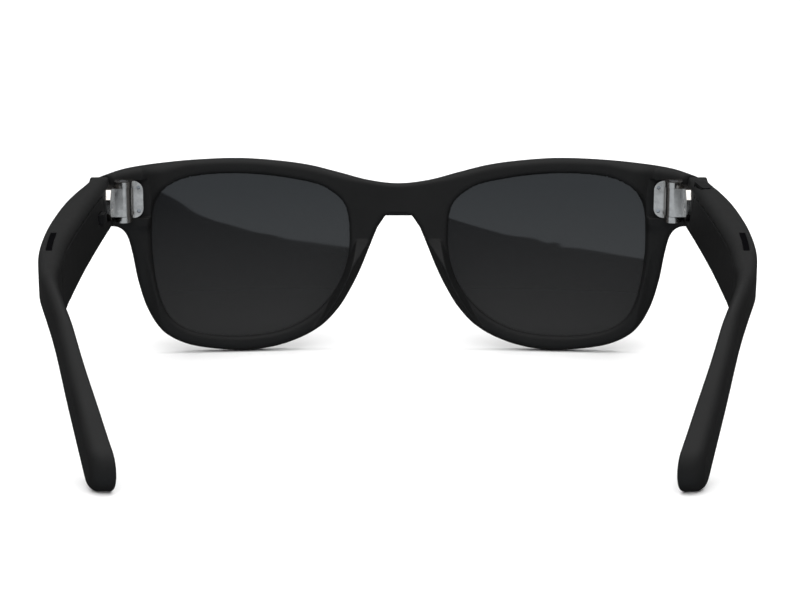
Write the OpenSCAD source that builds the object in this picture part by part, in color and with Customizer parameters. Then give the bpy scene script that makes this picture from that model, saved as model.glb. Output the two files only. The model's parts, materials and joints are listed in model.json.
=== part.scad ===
// Smart glasses with a folding pair of temples, in millimetres.
// +X is the wearer's left, +Y runs back towards the temple tips and +Z is up.
// The origin is the bottom centre of the open glasses, which stand on the rims and the temple tips.

/* [Lenses] */
// Boxed width of each lens
lens_w = 50; // [44:0.5:60]
// Boxed height of each lens
lens_h = 41.6; // [35:0.2:50]
// Thickness of each lens
lens_t = 2; // [1.6:0.1:2.6]
// Radius of the lens sphere
lens_r = 130; // [90:5:260]
// Gap between the lenses at the nose
bridge_w = 22.4; // [18:0.2:27]
// Depth of the groove that holds a lens edge
groove_d = 0.9; // [0.6:0.1:1.2]

/* [Front] */
// Thickness of the rims, front to back
rim_t = 5; // [4.2:0.1:6]
// Width of the rim below a lens
rim_bottom = 2.7; // [2:0.1:4]
// Width of the brow above a lens
brow_h = 2.9; // [2.4:0.1:4.5]
// Width of each end piece outside its lens
end_w = 13.8; // [12:0.2:17]
// Radius of the front's curve, seen from above
wrap_r = 320; // [220:10:600]
// Forward lean of the front as it stands
front_lean = 5; // [0:0.5:10]
// How far the nose pads stand out behind the rims
nose_pad_t = 4.6; // [3:0.1:6]

/* [Hinges] */
// Distance of a hinge pin outside its lens
hinge_out = 5.3; // [5:0.1:6.2]
// Depth of a hinge pin behind the end piece
hinge_back = 2.15; // [2:0.05:3]
// Height of a hinge, top lug to bottom lug
hinge_h = 10; // [8:0.2:12]
// Radius of the barrel
barrel_r = 2; // [1.7:0.05:2.1]
// Radius of the pin
pin_r = 0.7; // [0.5:0.05:0.9]
// Running clearance of the pin in the barrel
pin_fit = 0.04; // [0.02:0.01:0.1]

/* [Temples] */
// Length of a temple from its hinge pin to the bend over the ear
arm_l = 92; // [76:1:112]
// Length of the tip beyond the bend
tip_l = 59; // [46:1:70]
// Angle that the tip bends down
tip_drop = 26; // [15:1:40]
// Height of the arm above the hinge centre
arm_up = 5.6; // [5.2:0.1:7]
// Height of the arm below the hinge centre, at the hinge
arm_down = 5.4; // [5.2:0.1:8]
// How much deeper the arm is where the electronics end
arm_swell = 2.2; // [0:0.1:3]
// Half the height of the tip
tip_r = 4.8; // [4:0.1:6.5]
// Thickness of the shell walls
wall = 1.2; // [0.9:0.05:1.5]
// Thickness of the inner cover
cover_t = 1.1; // [0.8:0.05:1.4]

/* [Controls and sound] */
// Length of the capture button
button_l = 8.4; // [6:0.2:10]
// Width of the capture button
button_w = 2.2; // [1.6:0.1:2.6]
// Travel of the capture button
button_travel = 0.35; // [0.2:0.05:0.5]
// Length of the power slider's finger piece
slider_l = 3.2; // [2:0.2:5]
// Travel of the power slider
slider_travel = 1.8; // [1:0.1:3]
// Length of the vent slot on top of each arm
vent_l = 17; // [8:1:18]
// Width of the vent slot
vent_w = 1.3; // [0.8:0.1:1.8]
// Radius of the round window of the camera and of the capture light
window_r = 2.7; // [2:0.1:3]

/* [Hidden] */

fit = 0.05;      // gap between pieces that are fitted together
screw_fit = 0.02; // gap round a screw, a contact or a window in its hole
gap = 0.15;      // gap between pieces that move past each other
eps = 0.01;      // how far a cutter reaches past a face
far = 400;       // longer than the whole object
ring_fn = 48;    // facets of round parts
curve_steps = 4; // points between two control points of an outline

black = "#1c1d1e";
steel = "#b9bcbf";
gold = "#d2a94a";
board_green = "#2c5c3c";
smoke = "#2a2f33";

// ---- Curves -------------------------------------------------------------------------------------

// A point between b and c on the smooth curve through a, b, c and d
function between(a, b, c, d, t) =
    (2 * b + (c - a) * t + (2 * a - 5 * b + 4 * c - d) * t * t + (3 * b - a - 3 * c + d) * t * t * t) / 2;

// A smooth closed curve through the points
function closed_curve(p, n = curve_steps) = [
    for (i = [0:len(p) - 1], k = [0:n - 1])
        between(p[(i + len(p) - 1) % len(p)], p[i], p[(i + 1) % len(p)], p[(i + 2) % len(p)], k / n)
];

// A smooth open curve through the points
function open_curve(p, n = curve_steps) = concat([
    for (i = [0:len(p) - 2], k = [0:n - 1])
        between(p[max(i - 1, 0)], p[i], p[i + 1], p[min(i + 2, len(p) - 1)], k / n)
], [p[len(p) - 1]]);

function reversed(p) = [for (i = [len(p) - 1:-1:0]) p[i]];
function mirrored(p) = [for (q = reversed(p)) [-q[0], q[1]]];
function shifted(p, x, y) = [for (q = p) [q[0] + x, q[1] + y]];

// The y of a curve of [x, y] points, in rising x, at x
function height_at(p, x) =
    let (i = max([for (k = [0:len(p) - 2]) p[k][0] <= x ? k : 0]))
    p[i][1] + (p[i + 1][1] - p[i][1]) * (x - p[i][0]) / (p[i + 1][0] - p[i][0]);

// ---- The front, seen from the front -------------------------------------------------------------

// Across and up a lens box: 0 at its nose side and bottom, 1 at its far side and top
function lx(u) = bridge_w / 2 + u * lens_w;
function lz(v) = rim_bottom + v * lens_h;
lens_x = lx(0.5);
lens_z = lz(0.5);
front_half_w = lx(1) + end_w;
brow_top = lz(1) + brow_h;

// The lens shape in a box of side 1 about its centre
lens_shape = closed_curve([
    [-0.500, 0.100], [-0.476, 0.300], [-0.372, 0.413], [-0.214, 0.466], [0.005, 0.498], [0.235, 0.492],
    [0.388, 0.440], [0.483, 0.322], [0.500, 0.110], [0.484, -0.130], [0.436, -0.325], [0.345, -0.441],
    [0.200, -0.492], [0.015, -0.500], [-0.155, -0.468], [-0.300, -0.380], [-0.411, -0.245], [-0.478, -0.085]
]);

// The lens shape, smaller than the lens box by inset on every side
function lens_outline(inset) = [
    for (p = lens_shape) [lens_x + p[0] * (lens_w - 2 * inset), lens_z + p[1] * (lens_h - 2 * inset)]
];

// The underside of the bridge, which is flat for the charging port
arch_z = lz(0.723);
port_half_w = 3.4;

// The brow line from the middle of the bridge to the outer corner
brow_line = [
    [0, lz(0.918)], [lx(-0.076), lz(0.938)], [lx(0.07), lz(0.984)], [lx(0.22), brow_top - 1.7],
    [lx(0.38), brow_top - 0.6], [lx(0.56), brow_top], [lx(0.76), brow_top - 0.3], [lx(0.94), brow_top - 1.1],
    [lx(1) + 4.5, brow_top - 2.2], [lx(1) + 9, brow_top - 3.5]
];
end_piece_line = [
    [front_half_w - 1.2, lz(1) - 2.4], [front_half_w, lz(1) - 6.2], [front_half_w - 0.4, lz(1) - 10.4],
    [front_half_w - 2.8, lz(1) - 13.2], [lx(1) + 7.2, lz(1) - 13.9], [lx(1) + 5.2, lz(0.62)]
];
rim_line = [
    [lx(1) + 4.0, lz(0.52)], [lx(1) + 2.6, lz(0.34)], [lx(1) + 0.3, lz(0.17)], [lx(0.93), lz(0.05) - 0.1],
    [lx(0.81), rim_bottom - 1.2], [lx(0.64), 0.1], [lx(0.48), 0], [lx(0.32), rim_bottom - 1],
    [lx(0.17), lz(0.062)], [lx(0.075), lz(0.175)], [lx(0.01), lz(0.30)], [lx(-0.037), lz(0.415)],
    [lx(-0.076), lz(0.53)], [lx(-0.118), lz(0.655)]
];
half_line = concat(brow_line, end_piece_line, rim_line);
front_right = open_curve(concat([[lx(-0.076) * -1, lz(0.938)]], half_line), curve_steps);
front_outline = let (half = [for (p = front_right) if (p[0] > eps) p])
    concat(half, [[port_half_w, arch_z]], mirrored(concat(half, [[port_half_w, arch_z]])));

// ---- The front, seen from above: every face is part of a large cylinder -----------------------

curve_fn = 720;  // facets of the large cylinders
split = 0.4;     // the seam between the shells, behind the middle of the rims
seam_gap = 0.02; // between the two shells
scoop_d = 0.9;   // depth of the hollow behind the bridge, for the nose
scoop_half_w = 12.4;
scoop_r = pow(scoop_half_w, 2) / 2 / (scoop_d + pow(scoop_half_w, 2) / 2 / (wrap_r - rim_t / 2));
corner_r = 11;   // radius of the outer corners

// The middle of each outer corner's radius, which runs smoothly into the front face
corner_x = front_half_w + 0.4 - corner_r;
corner_y = wrap_r - sqrt(pow(wrap_r + rim_t / 2 - corner_r, 2) - pow(corner_x, 2));
tangent_x = corner_x * (wrap_r + rim_t / 2) / (wrap_r + rim_t / 2 - corner_r);
seam_x = tangent_x + 4.6; // the front shell ends here, and the rear shell wraps round the corner

// Depth of a face of the curve that lies off behind the middle of the rims
function curve_y(x, off) = wrap_r - sqrt(pow(wrap_r - off, 2) - x * x);
function mid_y(x) = curve_y(x, 0);
function rear_y(x) = curve_y(x, rim_t / 2);
function front_y(x) = abs(x) < tangent_x ? curve_y(x, -rim_t / 2)
    : corner_y - sqrt(pow(corner_r, 2) - pow(abs(x) - corner_x, 2));

module upright(z = far) translate([0, 0, -z / 2]) linear_extrude(z) children();
module behind_curve(off) upright() translate([0, wrap_r]) circle(r = wrap_r - off, $fn = curve_fn);
module behind_front() upright() intersection() {
    translate([0, wrap_r]) circle(r = wrap_r + rim_t / 2, $fn = curve_fn);
    union() {
        translate([-tangent_x, -far]) square([2 * tangent_x, 2 * far]);
        translate([-corner_x - corner_r, corner_y]) square([2 * (corner_x + corner_r), far]);
        for (s = [-1, 1]) translate([s * corner_x, corner_y]) circle(r = corner_r, $fn = 96);
    }
}
// Everything behind the rims and the bridge
module behind_rear(room = 0) {
    behind_curve(rim_t / 2 + room);
    translate([0, rim_t / 2 - scoop_d + scoop_r, 0]) upright() circle(r = scoop_r - room, $fn = 360);
}
// A prism through the front, from its outline
module through_front() translate([0, far / 2, 0]) rotate([90, 0, 0]) linear_extrude(far) children();

// ---- Where the front stands ---------------------------------------------------------------------

// Row positions of a point of the front: it leans forward on its rims
front_lift = -min([for (p = front_outline) front_y(p[0]) * sin(front_lean) + p[1] * cos(front_lean)]);
function leaned(p) = [p[0], p[1] * cos(front_lean) - p[2] * sin(front_lean),
    p[1] * sin(front_lean) + p[2] * cos(front_lean) + front_lift];
front_most = min([for (p = front_outline) front_y(p[0]) * cos(front_lean) - p[1] * sin(front_lean)]);

hinge_x = lx(1) + hinge_out;
end_raise = 1.46; // how far the end pieces stand out behind the rims
end_top = rear_y(hinge_x) + end_raise;
hinge_z = lz(1) - 7.3; // on the front, before it leans
hinge_at = leaned([hinge_x, end_top + hinge_back, hinge_z]);

// The temple tips end in a circle, and the temples slope until it touches the floor
bend_r = 34;
tip_end = [
    arm_l + bend_r * sin(tip_drop) + (tip_l - tip_r - bend_r * tip_drop * PI / 180) * cos(tip_drop),
    -bend_r * (1 - cos(tip_drop)) - (tip_l - tip_r - bend_r * tip_drop * PI / 180) * sin(tip_drop)
];
tip_reach = norm(tip_end);
temple_slope = atan2(tip_end[1], tip_end[0]) + asin((hinge_at[2] - tip_r) / tip_reach);
rear_most = hinge_at[1] + tip_end[0] * cos(temple_slope) + tip_end[1] * sin(temple_slope) + tip_r;
origin_y = (front_most + rear_most) / 2;

module on_front() translate([0, -origin_y, front_lift]) rotate([front_lean, 0, 0]) children();
// The left hinge and temple's own frame: the pin is along Z at the origin, and the arm runs along +Y
module on_left_hinge() translate(hinge_at - [0, origin_y, 0]) rotate([-temple_slope, 0, 0]) children();
module on_right_hinge() mirror([1, 0, 0]) on_left_hinge() children();
module on_hinge(side) {
    if (side == "left") on_left_hinge() children();
    else on_right_hinge() children();
}
module on_side(side) {
    if (side == "left") children();
    else mirror([1, 0, 0]) children();
}

// ---- Lenses -------------------------------------------------------------------------------------

lens_tilt = atan(lens_x / wrap_r);
lens_bulge = pow(lens_w / 2, 2) / 2 * (1 / lens_r - 1 / wrap_r);

// The left lens, swollen by room on every side when it cuts its own groove
module lens_body(room = 0) {
    edge = [for (p = lens_shape) [
        lens_x + p[0] * (lens_w + 2 * room), lens_z + p[1] * (lens_h + 2 * room)
    ]];
    ball_y = mid_y(lens_x) - lens_bulge;
    translate([lens_x, ball_y, lens_z]) intersection() {
        translate([-lens_x, -ball_y + far / 2, -lens_z]) rotate([90, 0, 0]) linear_extrude(far) polygon(edge);
        rotate([0, 0, lens_tilt]) translate([0, lens_r, 0]) difference() {
            sphere(r = lens_r + lens_t / 2 + room, $fn = 200);
            sphere(r = lens_r - lens_t / 2 - room, $fn = 200);
        }
        translate([-far / 2, -far / 4, -far / 2]) cube([far, far / 4 + lens_r / 2, far]);
    }
}

module lens(side) {
    color(smoke, 0.85) on_front() on_side(side) lens_body();
}

module both_lenses(room) {
    for (side = ["left", "right"]) on_side(side) lens_body(room);
}

module apertures() {
    for (side = ["left", "right"])
        on_side(side) through_front() polygon(lens_outline(groove_d));
}

// ---- Camera and capture light -------------------------------------------------------------------

window_x = lx(1) + 7.2;
window_z = lz(1) - 7;
window_tilt = 16;
bezel_w = 0.9;
bezel_r = window_r + bezel_w;
bezel_t = 1;
bezel_lip = 0.3; // what the pane sits on
pane_in = 0.1;   // how far the pane sits inside the bezel's face
module_side = 5.6;
module_t = 2.1;
barrel_t = 0.7;
light_side = 3.6;
light_t = 0.9;

// The frame of a round window on the front's left corner: +Z looks out, 0 at the bezel's face
module on_window(side) {
    on_front() on_side(side)
        translate([window_x, front_y(window_x) + 0.2, window_z]) rotate([90, 0, window_tilt]) children();
}
module window_hole(side) {
    on_window(side) {
        translate([0, 0, -bezel_t - fit]) cylinder(r = bezel_r + fit, h = 6, $fn = ring_fn);
        translate([0, 0, -bezel_t - barrel_t - fit]) cylinder(r = window_r, h = 3, $fn = ring_fn);
    }
}
module window_pocket(side) {
    side_l = module_side + 2 * gap;
    on_window(side) translate([-side_l / 2, -side_l / 2, -bezel_t - barrel_t - module_t - fit])
        cube([side_l, side_l, module_t + 2 * fit]);
}
module bezel(side) {
    color(black) on_window(side) translate([0, 0, -bezel_t]) difference() {
        cylinder(r = bezel_r, h = bezel_t, $fn = ring_fn);
        translate([0, 0, -eps]) cylinder(r = window_r - 0.5, h = bezel_t + 2 * eps, $fn = ring_fn);
        translate([0, 0, bezel_lip]) cylinder(r = window_r, h = bezel_t, $fn = ring_fn);
    }
}
module window_pane(side) {
    color(smoke, 0.6) on_window(side) translate([0, 0, -bezel_t + bezel_lip])
        cylinder(r = window_r - screw_fit, h = bezel_t - bezel_lip - pane_in, $fn = ring_fn);
}
// A square body with a round barrel in front of it, behind a window
module sensor(side_l, t, r) {
    translate([-side_l / 2, -side_l / 2, -bezel_t - barrel_t - t]) cube([side_l, side_l, t]);
    translate([0, 0, -bezel_t - barrel_t - eps]) cylinder(r = r, h = barrel_t, $fn = ring_fn);
}
module camera_module() {
    color("#202428") on_window("left") sensor(module_side, module_t, window_r - 0.6);
}
module capture_light() {
    color("white") on_window("right") sensor(light_side, light_t, window_r / 2);
}

// ---- Charging port, bridge microphone and flex ---------------------------------------------------

port_w = 6.2;
port_d = 3;
port_h = 2;
contact_r = 0.55;
contact_pitch = 1.9;

module port_space(room) {
    translate([-port_w / 2 - room, -port_d / 2 - room, arch_z - 3])
        cube([port_w + 2 * room, port_d + 2 * room, port_h + 3 + room]);
}
module charge_port() {
    color(black) on_front() difference() {
        translate([-port_w / 2, -port_d / 2, arch_z + 0.2]) cube([port_w, port_d, port_h - 0.2]);
        for (i = [-1:1]) translate([i * contact_pitch, 0, 0]) cylinder(r = contact_r, h = far, $fn = ring_fn);
    }
}
module charge_contacts() {
    color(gold) on_front() for (i = [-1:1]) translate([i * contact_pitch, 0, arch_z + 0.3])
        cylinder(r = contact_r - screw_fit, h = port_h - 0.3, $fn = ring_fn);
}

flex_t = 0.3;
flex_w = 1;
flex_below_brow = 1.1;
// The flex runs along the brow, from one end piece to the other
module flex_shape(room) {
    half = [for (p = brow_line) if (p[0] < window_x - module_side / 2 - 0.9) p];
    top = concat(mirrored([for (p = half) if (p[0] > 0) p]), half);
    polygon(concat(shifted(top, 0, room - flex_below_brow),
        reversed(shifted(top, 0, -room - flex_below_brow - flex_w))));
}
module flex_space(room, back) intersection() {
    through_front() flex_shape(room);
    difference() {
        behind_curve(split - flex_t - fit - room);
        behind_curve(back);
    }
}
module brow_flex() {
    color("#7a4a1c") on_front() flex_space(0, split - fit);
}
bridge_mic = [2.6, 0.8, 1.8]; // its width, depth and height
bridge_mic_y = split + 0.35;
module bridge_microphone() {
    color(steel) on_front() translate([-bridge_mic[0] / 2, bridge_mic_y, lz(0.85)]) cube(bridge_mic);
}
// Its pocket opens at the seam, and a small hole lets the sound in from behind
module bridge_microphone_pocket() on_front() {
    y0 = split - 1;
    depth = bridge_mic_y + bridge_mic[1] + fit - y0;
    translate([-bridge_mic[0] / 2 - fit, y0, lz(0.85) - fit])
        cube([bridge_mic[0] + 2 * fit, depth, bridge_mic[2] + 2 * fit]);
    translate([0, 0, lz(0.85) + bridge_mic[2] / 2]) rotate([-90, 0, 0]) cylinder(r = 0.35, h = 9, $fn = 24);
}

// ---- Front and rear shells ----------------------------------------------------------------------

module front_shape() polygon(front_outline);

block_in = 5.3;    // how far inside the hinge pin the raised end piece starts
block_low = 6.6;   // how far below the hinge centre it ends
block_slope = 31;  // its inner side slopes down to the rim
module end_block_shape() {
    x0 = hinge_x - block_in;
    z0 = hinge_z - block_low;
    polygon([
        [x0 - 6, brow_top + 1], [x0 - 5, z0 + 3], [x0 + 2.6, z0],
        [front_half_w + 2, z0 - 0.5], [front_half_w + 2, brow_top + 1]
    ]);
}
module end_block(side) on_side(side) intersection() {
    through_front() end_block_shape();
    translate([hinge_x - block_in, end_top, 0]) rotate([0, 0, -block_slope])
        translate([0, -far / 2, -far / 2]) cube(far);
    translate([0, 0, -far / 2]) cube([far, end_top + 1, far]);
}

leaf_t = 1.2;
module hinge_pocket(side) on_hinge(side) {
    // Everything behind the end piece's face, and the recess for the front leaf
    translate([-block_in - 1.9, -hinge_back, -12]) cube([20, 20, 24]);
    translate([0, -hinge_back + eps, 0]) leaf_plate(fit, leaf_t + fit);
}

// The whole front, before it is split into two shells
module front_body() difference() {
    intersection() {
        through_front() front_shape();
        behind_front();
        union() {
            difference() {
                translate([-far / 2, -far / 2, -far / 2]) cube(far);
                behind_rear();
            }
            for (side = ["left", "right"]) end_block(side);
        }
    }
    apertures();
    both_lenses(fit);
    port_space(fit);
}
module inside_seam(x) translate([-x, -far / 2, -far / 2]) cube([2 * x, far, far]);

module rear_shell() {
    color(black) difference() {
        on_front() intersection() {
            front_body();
            union() {
                behind_curve(split);
                difference() {
                    translate([-far / 2, -far / 2, -far / 2]) cube(far);
                    inside_seam(seam_x);
                }
            }
        }
        bridge_microphone_pocket();
        for (side = ["left", "right"]) {
            hinge_pocket(side);
            window_hole(side);
            window_pocket(side);
            leaf_screw_holes(side);
        }
    }
}

module front_shell() {
    color(black) difference() {
        on_front() difference() {
            intersection() {
                front_body();
                inside_seam(seam_x - seam_gap);
            }
            behind_curve(split - seam_gap);
            flex_space(fit, split + 1);
        }
        for (side = ["left", "right"]) {
            window_hole(side);
            window_pocket(side);
            leaf_screw_holes(side);
        }
    }
}

// ---- Nose pads ----------------------------------------------------------------------------------

pad_line = [
    [lx(-0.060), lz(0.545)], [lx(0.004), lz(0.560)], [lx(0.010), lz(0.450)], [lx(0.045), lz(0.300)],
    [lx(0.115), lz(0.165)], [lx(0.190), lz(0.085)], [lx(0.165), lz(0.068)], [lx(0.082), lz(0.180)],
    [lx(0.018), lz(0.305)], [lx(-0.030), lz(0.42)]
];
module nose_pad(side) {
    pad_z = lz(0.33);
    pad_r = 17;
    color(black) on_front() on_side(side) difference() {
        intersection() {
            through_front() polygon(pad_line);
            behind_rear(seam_gap);
            translate([lx(0.03), rear_y(lx(0)) + nose_pad_t - pad_r, pad_z]) rotate([0, 90, 30])
                translate([0, 0, -20]) cylinder(r = pad_r, h = 40, $fn = 96);
        }
        both_lenses(fit);
    }
}

// ---- Hinges -------------------------------------------------------------------------------------

lug_h = 1.45;
lug_gap = 0.06;
lug_r = barrel_r + 0.15;
knuckle_h = hinge_h - 2 * lug_h - 2 * lug_gap;
leaf_in = 4.5;
leaf_out = 2.25;
leaf_low = 0.4; // how much lower the plate is than the lugs, at each end
leaf_corner = 2.4;
head_r = 1.15;
head_t = 0.5;

// The front leaf's plate, from y = 0 forwards, rounded on the side of the lens
module leaf_plate(room, t) {
    r = leaf_corner + room;
    x0 = -leaf_in - room;
    x1 = leaf_out + room;
    z1 = hinge_h / 2 - leaf_low + room;
    rotate([90, 0, 0]) linear_extrude(t) union() {
        translate([x0 + r, -z1]) square([x1 - x0 - r, 2 * z1]);
        translate([x0, -z1 + r]) square([r + 1, 2 * z1 - 2 * r]);
        for (s = [-1, 1]) translate([x0 + r, s * (z1 - r)]) circle(r = r, $fn = ring_fn);
    }
}
module front_leaf(side) {
    color(steel) on_hinge(side) difference() {
        union() {
            translate([0, -hinge_back + 0.1, 0]) leaf_plate(0, leaf_t + 0.05);
            for (s = [-1, 1]) translate([0, 0, s * (hinge_h - lug_h) / 2]) {
                translate([0, 0, -lug_h / 2]) cylinder(r = lug_r, h = lug_h, $fn = ring_fn);
                translate([-lug_r, -hinge_back, -lug_h / 2]) cube([2 * lug_r, hinge_back, lug_h]);
            }
        }
        cylinder(r = pin_r + screw_fit, h = far, center = true, $fn = ring_fn);
        translate([0, 0, hinge_h / 2 - head_t - screw_fit])
            cylinder(r = head_r + screw_fit, h = far, $fn = ring_fn);
        leaf_screws_at() cylinder(r = screw_r + screw_fit, h = 20, center = true, $fn = ring_fn);
    }
}

screw_r = 0.45;
screw_head_r = 0.8;
screw_head_t = 0.4;
screw_l = 2.2;
// Places the two screws that hold the front leaf from inside the rear shell: +Z points forwards
module leaf_screws_at() {
    for (s = [-1, 1]) translate([-leaf_in + 1.1, -hinge_back, s * (hinge_h / 2 - 2.1)])
        rotate([90, 0, 0]) children();
}
module leaf_screw_holes(side) on_hinge(side) leaf_screws_at() {
    cylinder(r = screw_r + screw_fit, h = screw_l + fit, $fn = ring_fn);
    translate([0, 0, screw_l - screw_head_t])
        cylinder(r = screw_head_r + fit, h = screw_head_t + 1, $fn = ring_fn);
}
module front_leaf_screws() {
    color(steel) for (side = ["left", "right"]) on_hinge(side) leaf_screws_at() {
        translate([0, 0, 0.3]) cylinder(r = screw_r, h = screw_l - 0.3, $fn = ring_fn);
        translate([0, 0, screw_l - screw_head_t + fit])
            cylinder(r = screw_head_r, h = screw_head_t, $fn = ring_fn);
    }
}

module hinge_pin(side) {
    color(steel) on_hinge(side) union() {
        translate([0, 0, -hinge_h / 2]) cylinder(r = pin_r, h = hinge_h - eps, $fn = ring_fn);
        difference() {
            translate([0, 0, hinge_h / 2 - head_t]) cylinder(r = head_r, h = head_t, $fn = ring_fn);
            translate([-head_r, -0.15, hinge_h / 2 - 0.25]) cube([2 * head_r, 0.3, 1]);
        }
    }
}

// ---- Temple shape -------------------------------------------------------------------------------

arm_front = -hinge_back + gap + 0.05; // the arm's front face, when it is open
function ay(t) = arm_front + t * (arm_l - arm_front);       // along the arm
function ty(t) = arm_l + t * (tip_end[0] + tip_r - arm_l);  // along the tip

// Distance of the outer face from the hinge pin, seen from above
outer_line = open_curve([
    [ay(0), 8.1], [ay(0.075), 8.9], [ay(0.17), 10.2], [ay(0.30), 11.4], [ay(0.47), 12.0], [ay(0.62), 11.9],
    [ay(0.77), 11.1], [ay(0.90), 9.6], [ty(0), 7.9], [ty(0.15), 5.8], [ty(0.33), 2.7], [ty(0.55), -0.7],
    [ty(0.75), -3.9], [ty(0.92), -6.7], [ty(1.06), -9.3]
], 3);
// Distance of the inner face from the hinge pin
inner_line = open_curve([
    [ay(0), 2.45], [ay(0.075), 2.6], [ay(0.17), 3.1], [ay(0.30), 3.7], [ay(0.47), 4.35], [ay(0.62), 4.7],
    [ay(0.77), 4.9], [ay(0.90), 4.8], [ty(0), 4.3], [ty(0.15), 2.7], [ty(0.33), -0.55], [ty(0.55), -4.45],
    [ty(0.75), -8.3], [ty(0.92), -11.55], [ty(1.06), -14.4]
], 3);
function flipped(p) = [for (q = p) [q[1], q[0]]];
function outer_x(y) = height_at(outer_line, y);
function inner_x(y) = height_at(inner_line, y);

// Points along the outer face, moved inwards by a, and along the inner face, moved outwards by b
function outer_points(y0, y1, a, n = 16) =
    [for (i = [0:n]) let (y = y0 + (y1 - y0) * i / n) [outer_x(y) - a, y]];
function inner_points(y0, y1, b, n = 16) =
    [for (i = [0:n]) let (y = y0 + (y1 - y0) * i / n) [inner_x(y) + b, y]];

// Side view: the middle of the bar at a distance s along it, and its direction
bend_l = bend_r * tip_drop * PI / 180;
function tip_mid(s) =
    s < 0 ? [arm_l + s, 0]
    : s < bend_l ? let (a = s / bend_r * 180 / PI) [arm_l + bend_r * sin(a), -bend_r * (1 - cos(a))]
    : [arm_l + bend_r * sin(tip_drop) + (s - bend_l) * cos(tip_drop),
       -bend_r * (1 - cos(tip_drop)) - (s - bend_l) * sin(tip_drop)];
function tip_angle(s) = s < 0 ? 0 : min(s / bend_l, 1) * tip_drop;
tip_top_up = arm_up;
tip_low_down = 3.3;
step_y = arm_l - 12.5; // where the deep part of the arm ends
function tip_half_top(s) = tip_top_up + (tip_r - tip_top_up) * min(max(s, 0) / (tip_l - tip_r), 1);
function tip_half_low(s) = tip_low_down + (tip_r - tip_low_down) * min(max(s, 0) / (tip_l - tip_r), 1);
function tip_top(s) = tip_mid(s) + tip_half_top(s) * [sin(tip_angle(s)), cos(tip_angle(s))];
function tip_low(s) = tip_mid(s) - tip_half_low(s) * [sin(tip_angle(s)), cos(tip_angle(s))];
function low_z(y) = -arm_down - arm_swell * y / step_y;

tip_steps = 12;
side_outline = concat(
    [[arm_front, arm_up], [arm_l * 0.5, arm_up]],
    [for (i = [0:tip_steps]) tip_top((tip_l - tip_r) * i / tip_steps)],
    [for (i = [1:11]) let (a = 90 - tip_drop - i * 15) tip_end + tip_r * [cos(a), sin(a)]],
    [for (i = [tip_steps:-1:0]) tip_low((tip_l - tip_r) * i / tip_steps)],
    [[step_y + 5, -tip_low_down], [step_y + 3.4, -tip_low_down - 0.5], [step_y + 1.6, low_z(step_y) + 0.6]],
    [[step_y, low_z(step_y)], [step_y / 2, low_z(step_y / 2)], [arm_front, low_z(0)]]
);

// A solid from a plan view and a side view, both in the temple's frame
module plan_and_side(plan_points, side_points) {
    intersection() {
        translate([0, 0, -far / 2]) linear_extrude(far) polygon(plan_points);
        translate([-far / 2, 0, 0]) rotate([90, 0, 90]) linear_extrude(far) polygon(side_points);
    }
}
// A solid that follows the arm's outer face, from a to b inside it
module along_outer(y0, y1, a, b, z0, z1) {
    plan_and_side(
        concat(outer_points(y0, y1, a), reversed(outer_points(y0, y1, b))),
        [[y0, z0], [y1, z0], [y1, z1], [y0, z1]]
    );
}

cavity_y0 = 3;
cavity_y1 = step_y - 1.5;
cover_y0 = 10;
cover_y1 = step_y - 0.5;
rebate = 0.7; // how far the cover stays inside the edges of the arm

// The side view of the arm between two places along it, inside its edges by inset
function arm_side(y0, y1, inset) = [
    [y0, low_z(y0) + inset], [y1, low_z(y1) + inset], [y1, arm_up - inset], [y0, arm_up - inset]
];
module cover_space(room) {
    y0 = cover_y0 - room;
    y1 = cover_y1 + room;
    plan_and_side(
        concat(inner_points(y0, y1, -2 * room), reversed(inner_points(y0, y1, cover_t + room))),
        arm_side(y0, y1, rebate - room)
    );
}
// Beside the temple leaf the inner wall stays, and further back the cover closes the arm
module cavity() {
    y0 = cavity_y0;
    y1 = cavity_y1;
    opening_y0 = cover_y0 + 1;
    plan_and_side(
        concat(outer_points(y0, y1, wall), reversed(inner_points(y0, y1, cover_t + wall))),
        arm_side(y0, y1, wall)
    );
    plan_and_side(
        concat(outer_points(opening_y0, y1, wall + 1), reversed(inner_points(opening_y0, y1, 0))),
        arm_side(opening_y0, y1, wall + rebate)
    );
}

// The vent slot on the top and the sound port below hold a mesh each, just inside the surface,
// and a narrower opening behind it leads into the arm
mesh_in = 0.15;
mesh_t = 0.7;
mesh_land = 0.25; // what a mesh rests on, all round
vent_y = cavity_y1 - vent_l - 5;
vent_x_in = 2.3; // middle of the vent slot, inside the outer face
module vent_space(room, z0, z1) {
    a = vent_x_in - vent_w / 2 - room;
    b = vent_x_in + vent_w / 2 + room;
    along_outer(vent_y - room, vent_y + vent_l + room, a, b, z0, z1);
}
port_y = step_y - 12;
port_l = 8;
port_x_in = 3.1; // middle of the sound port, inside the outer face
port_slot_w = 2.2;
port_z = low_z(port_y + port_l / 2);
module sound_port_space(room, z0, z1) {
    a = port_x_in - port_slot_w / 2 - room;
    b = port_x_in + port_slot_w / 2 + room;
    along_outer(port_y - room, port_y + port_l + room, a, b, z0, z1);
}

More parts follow.
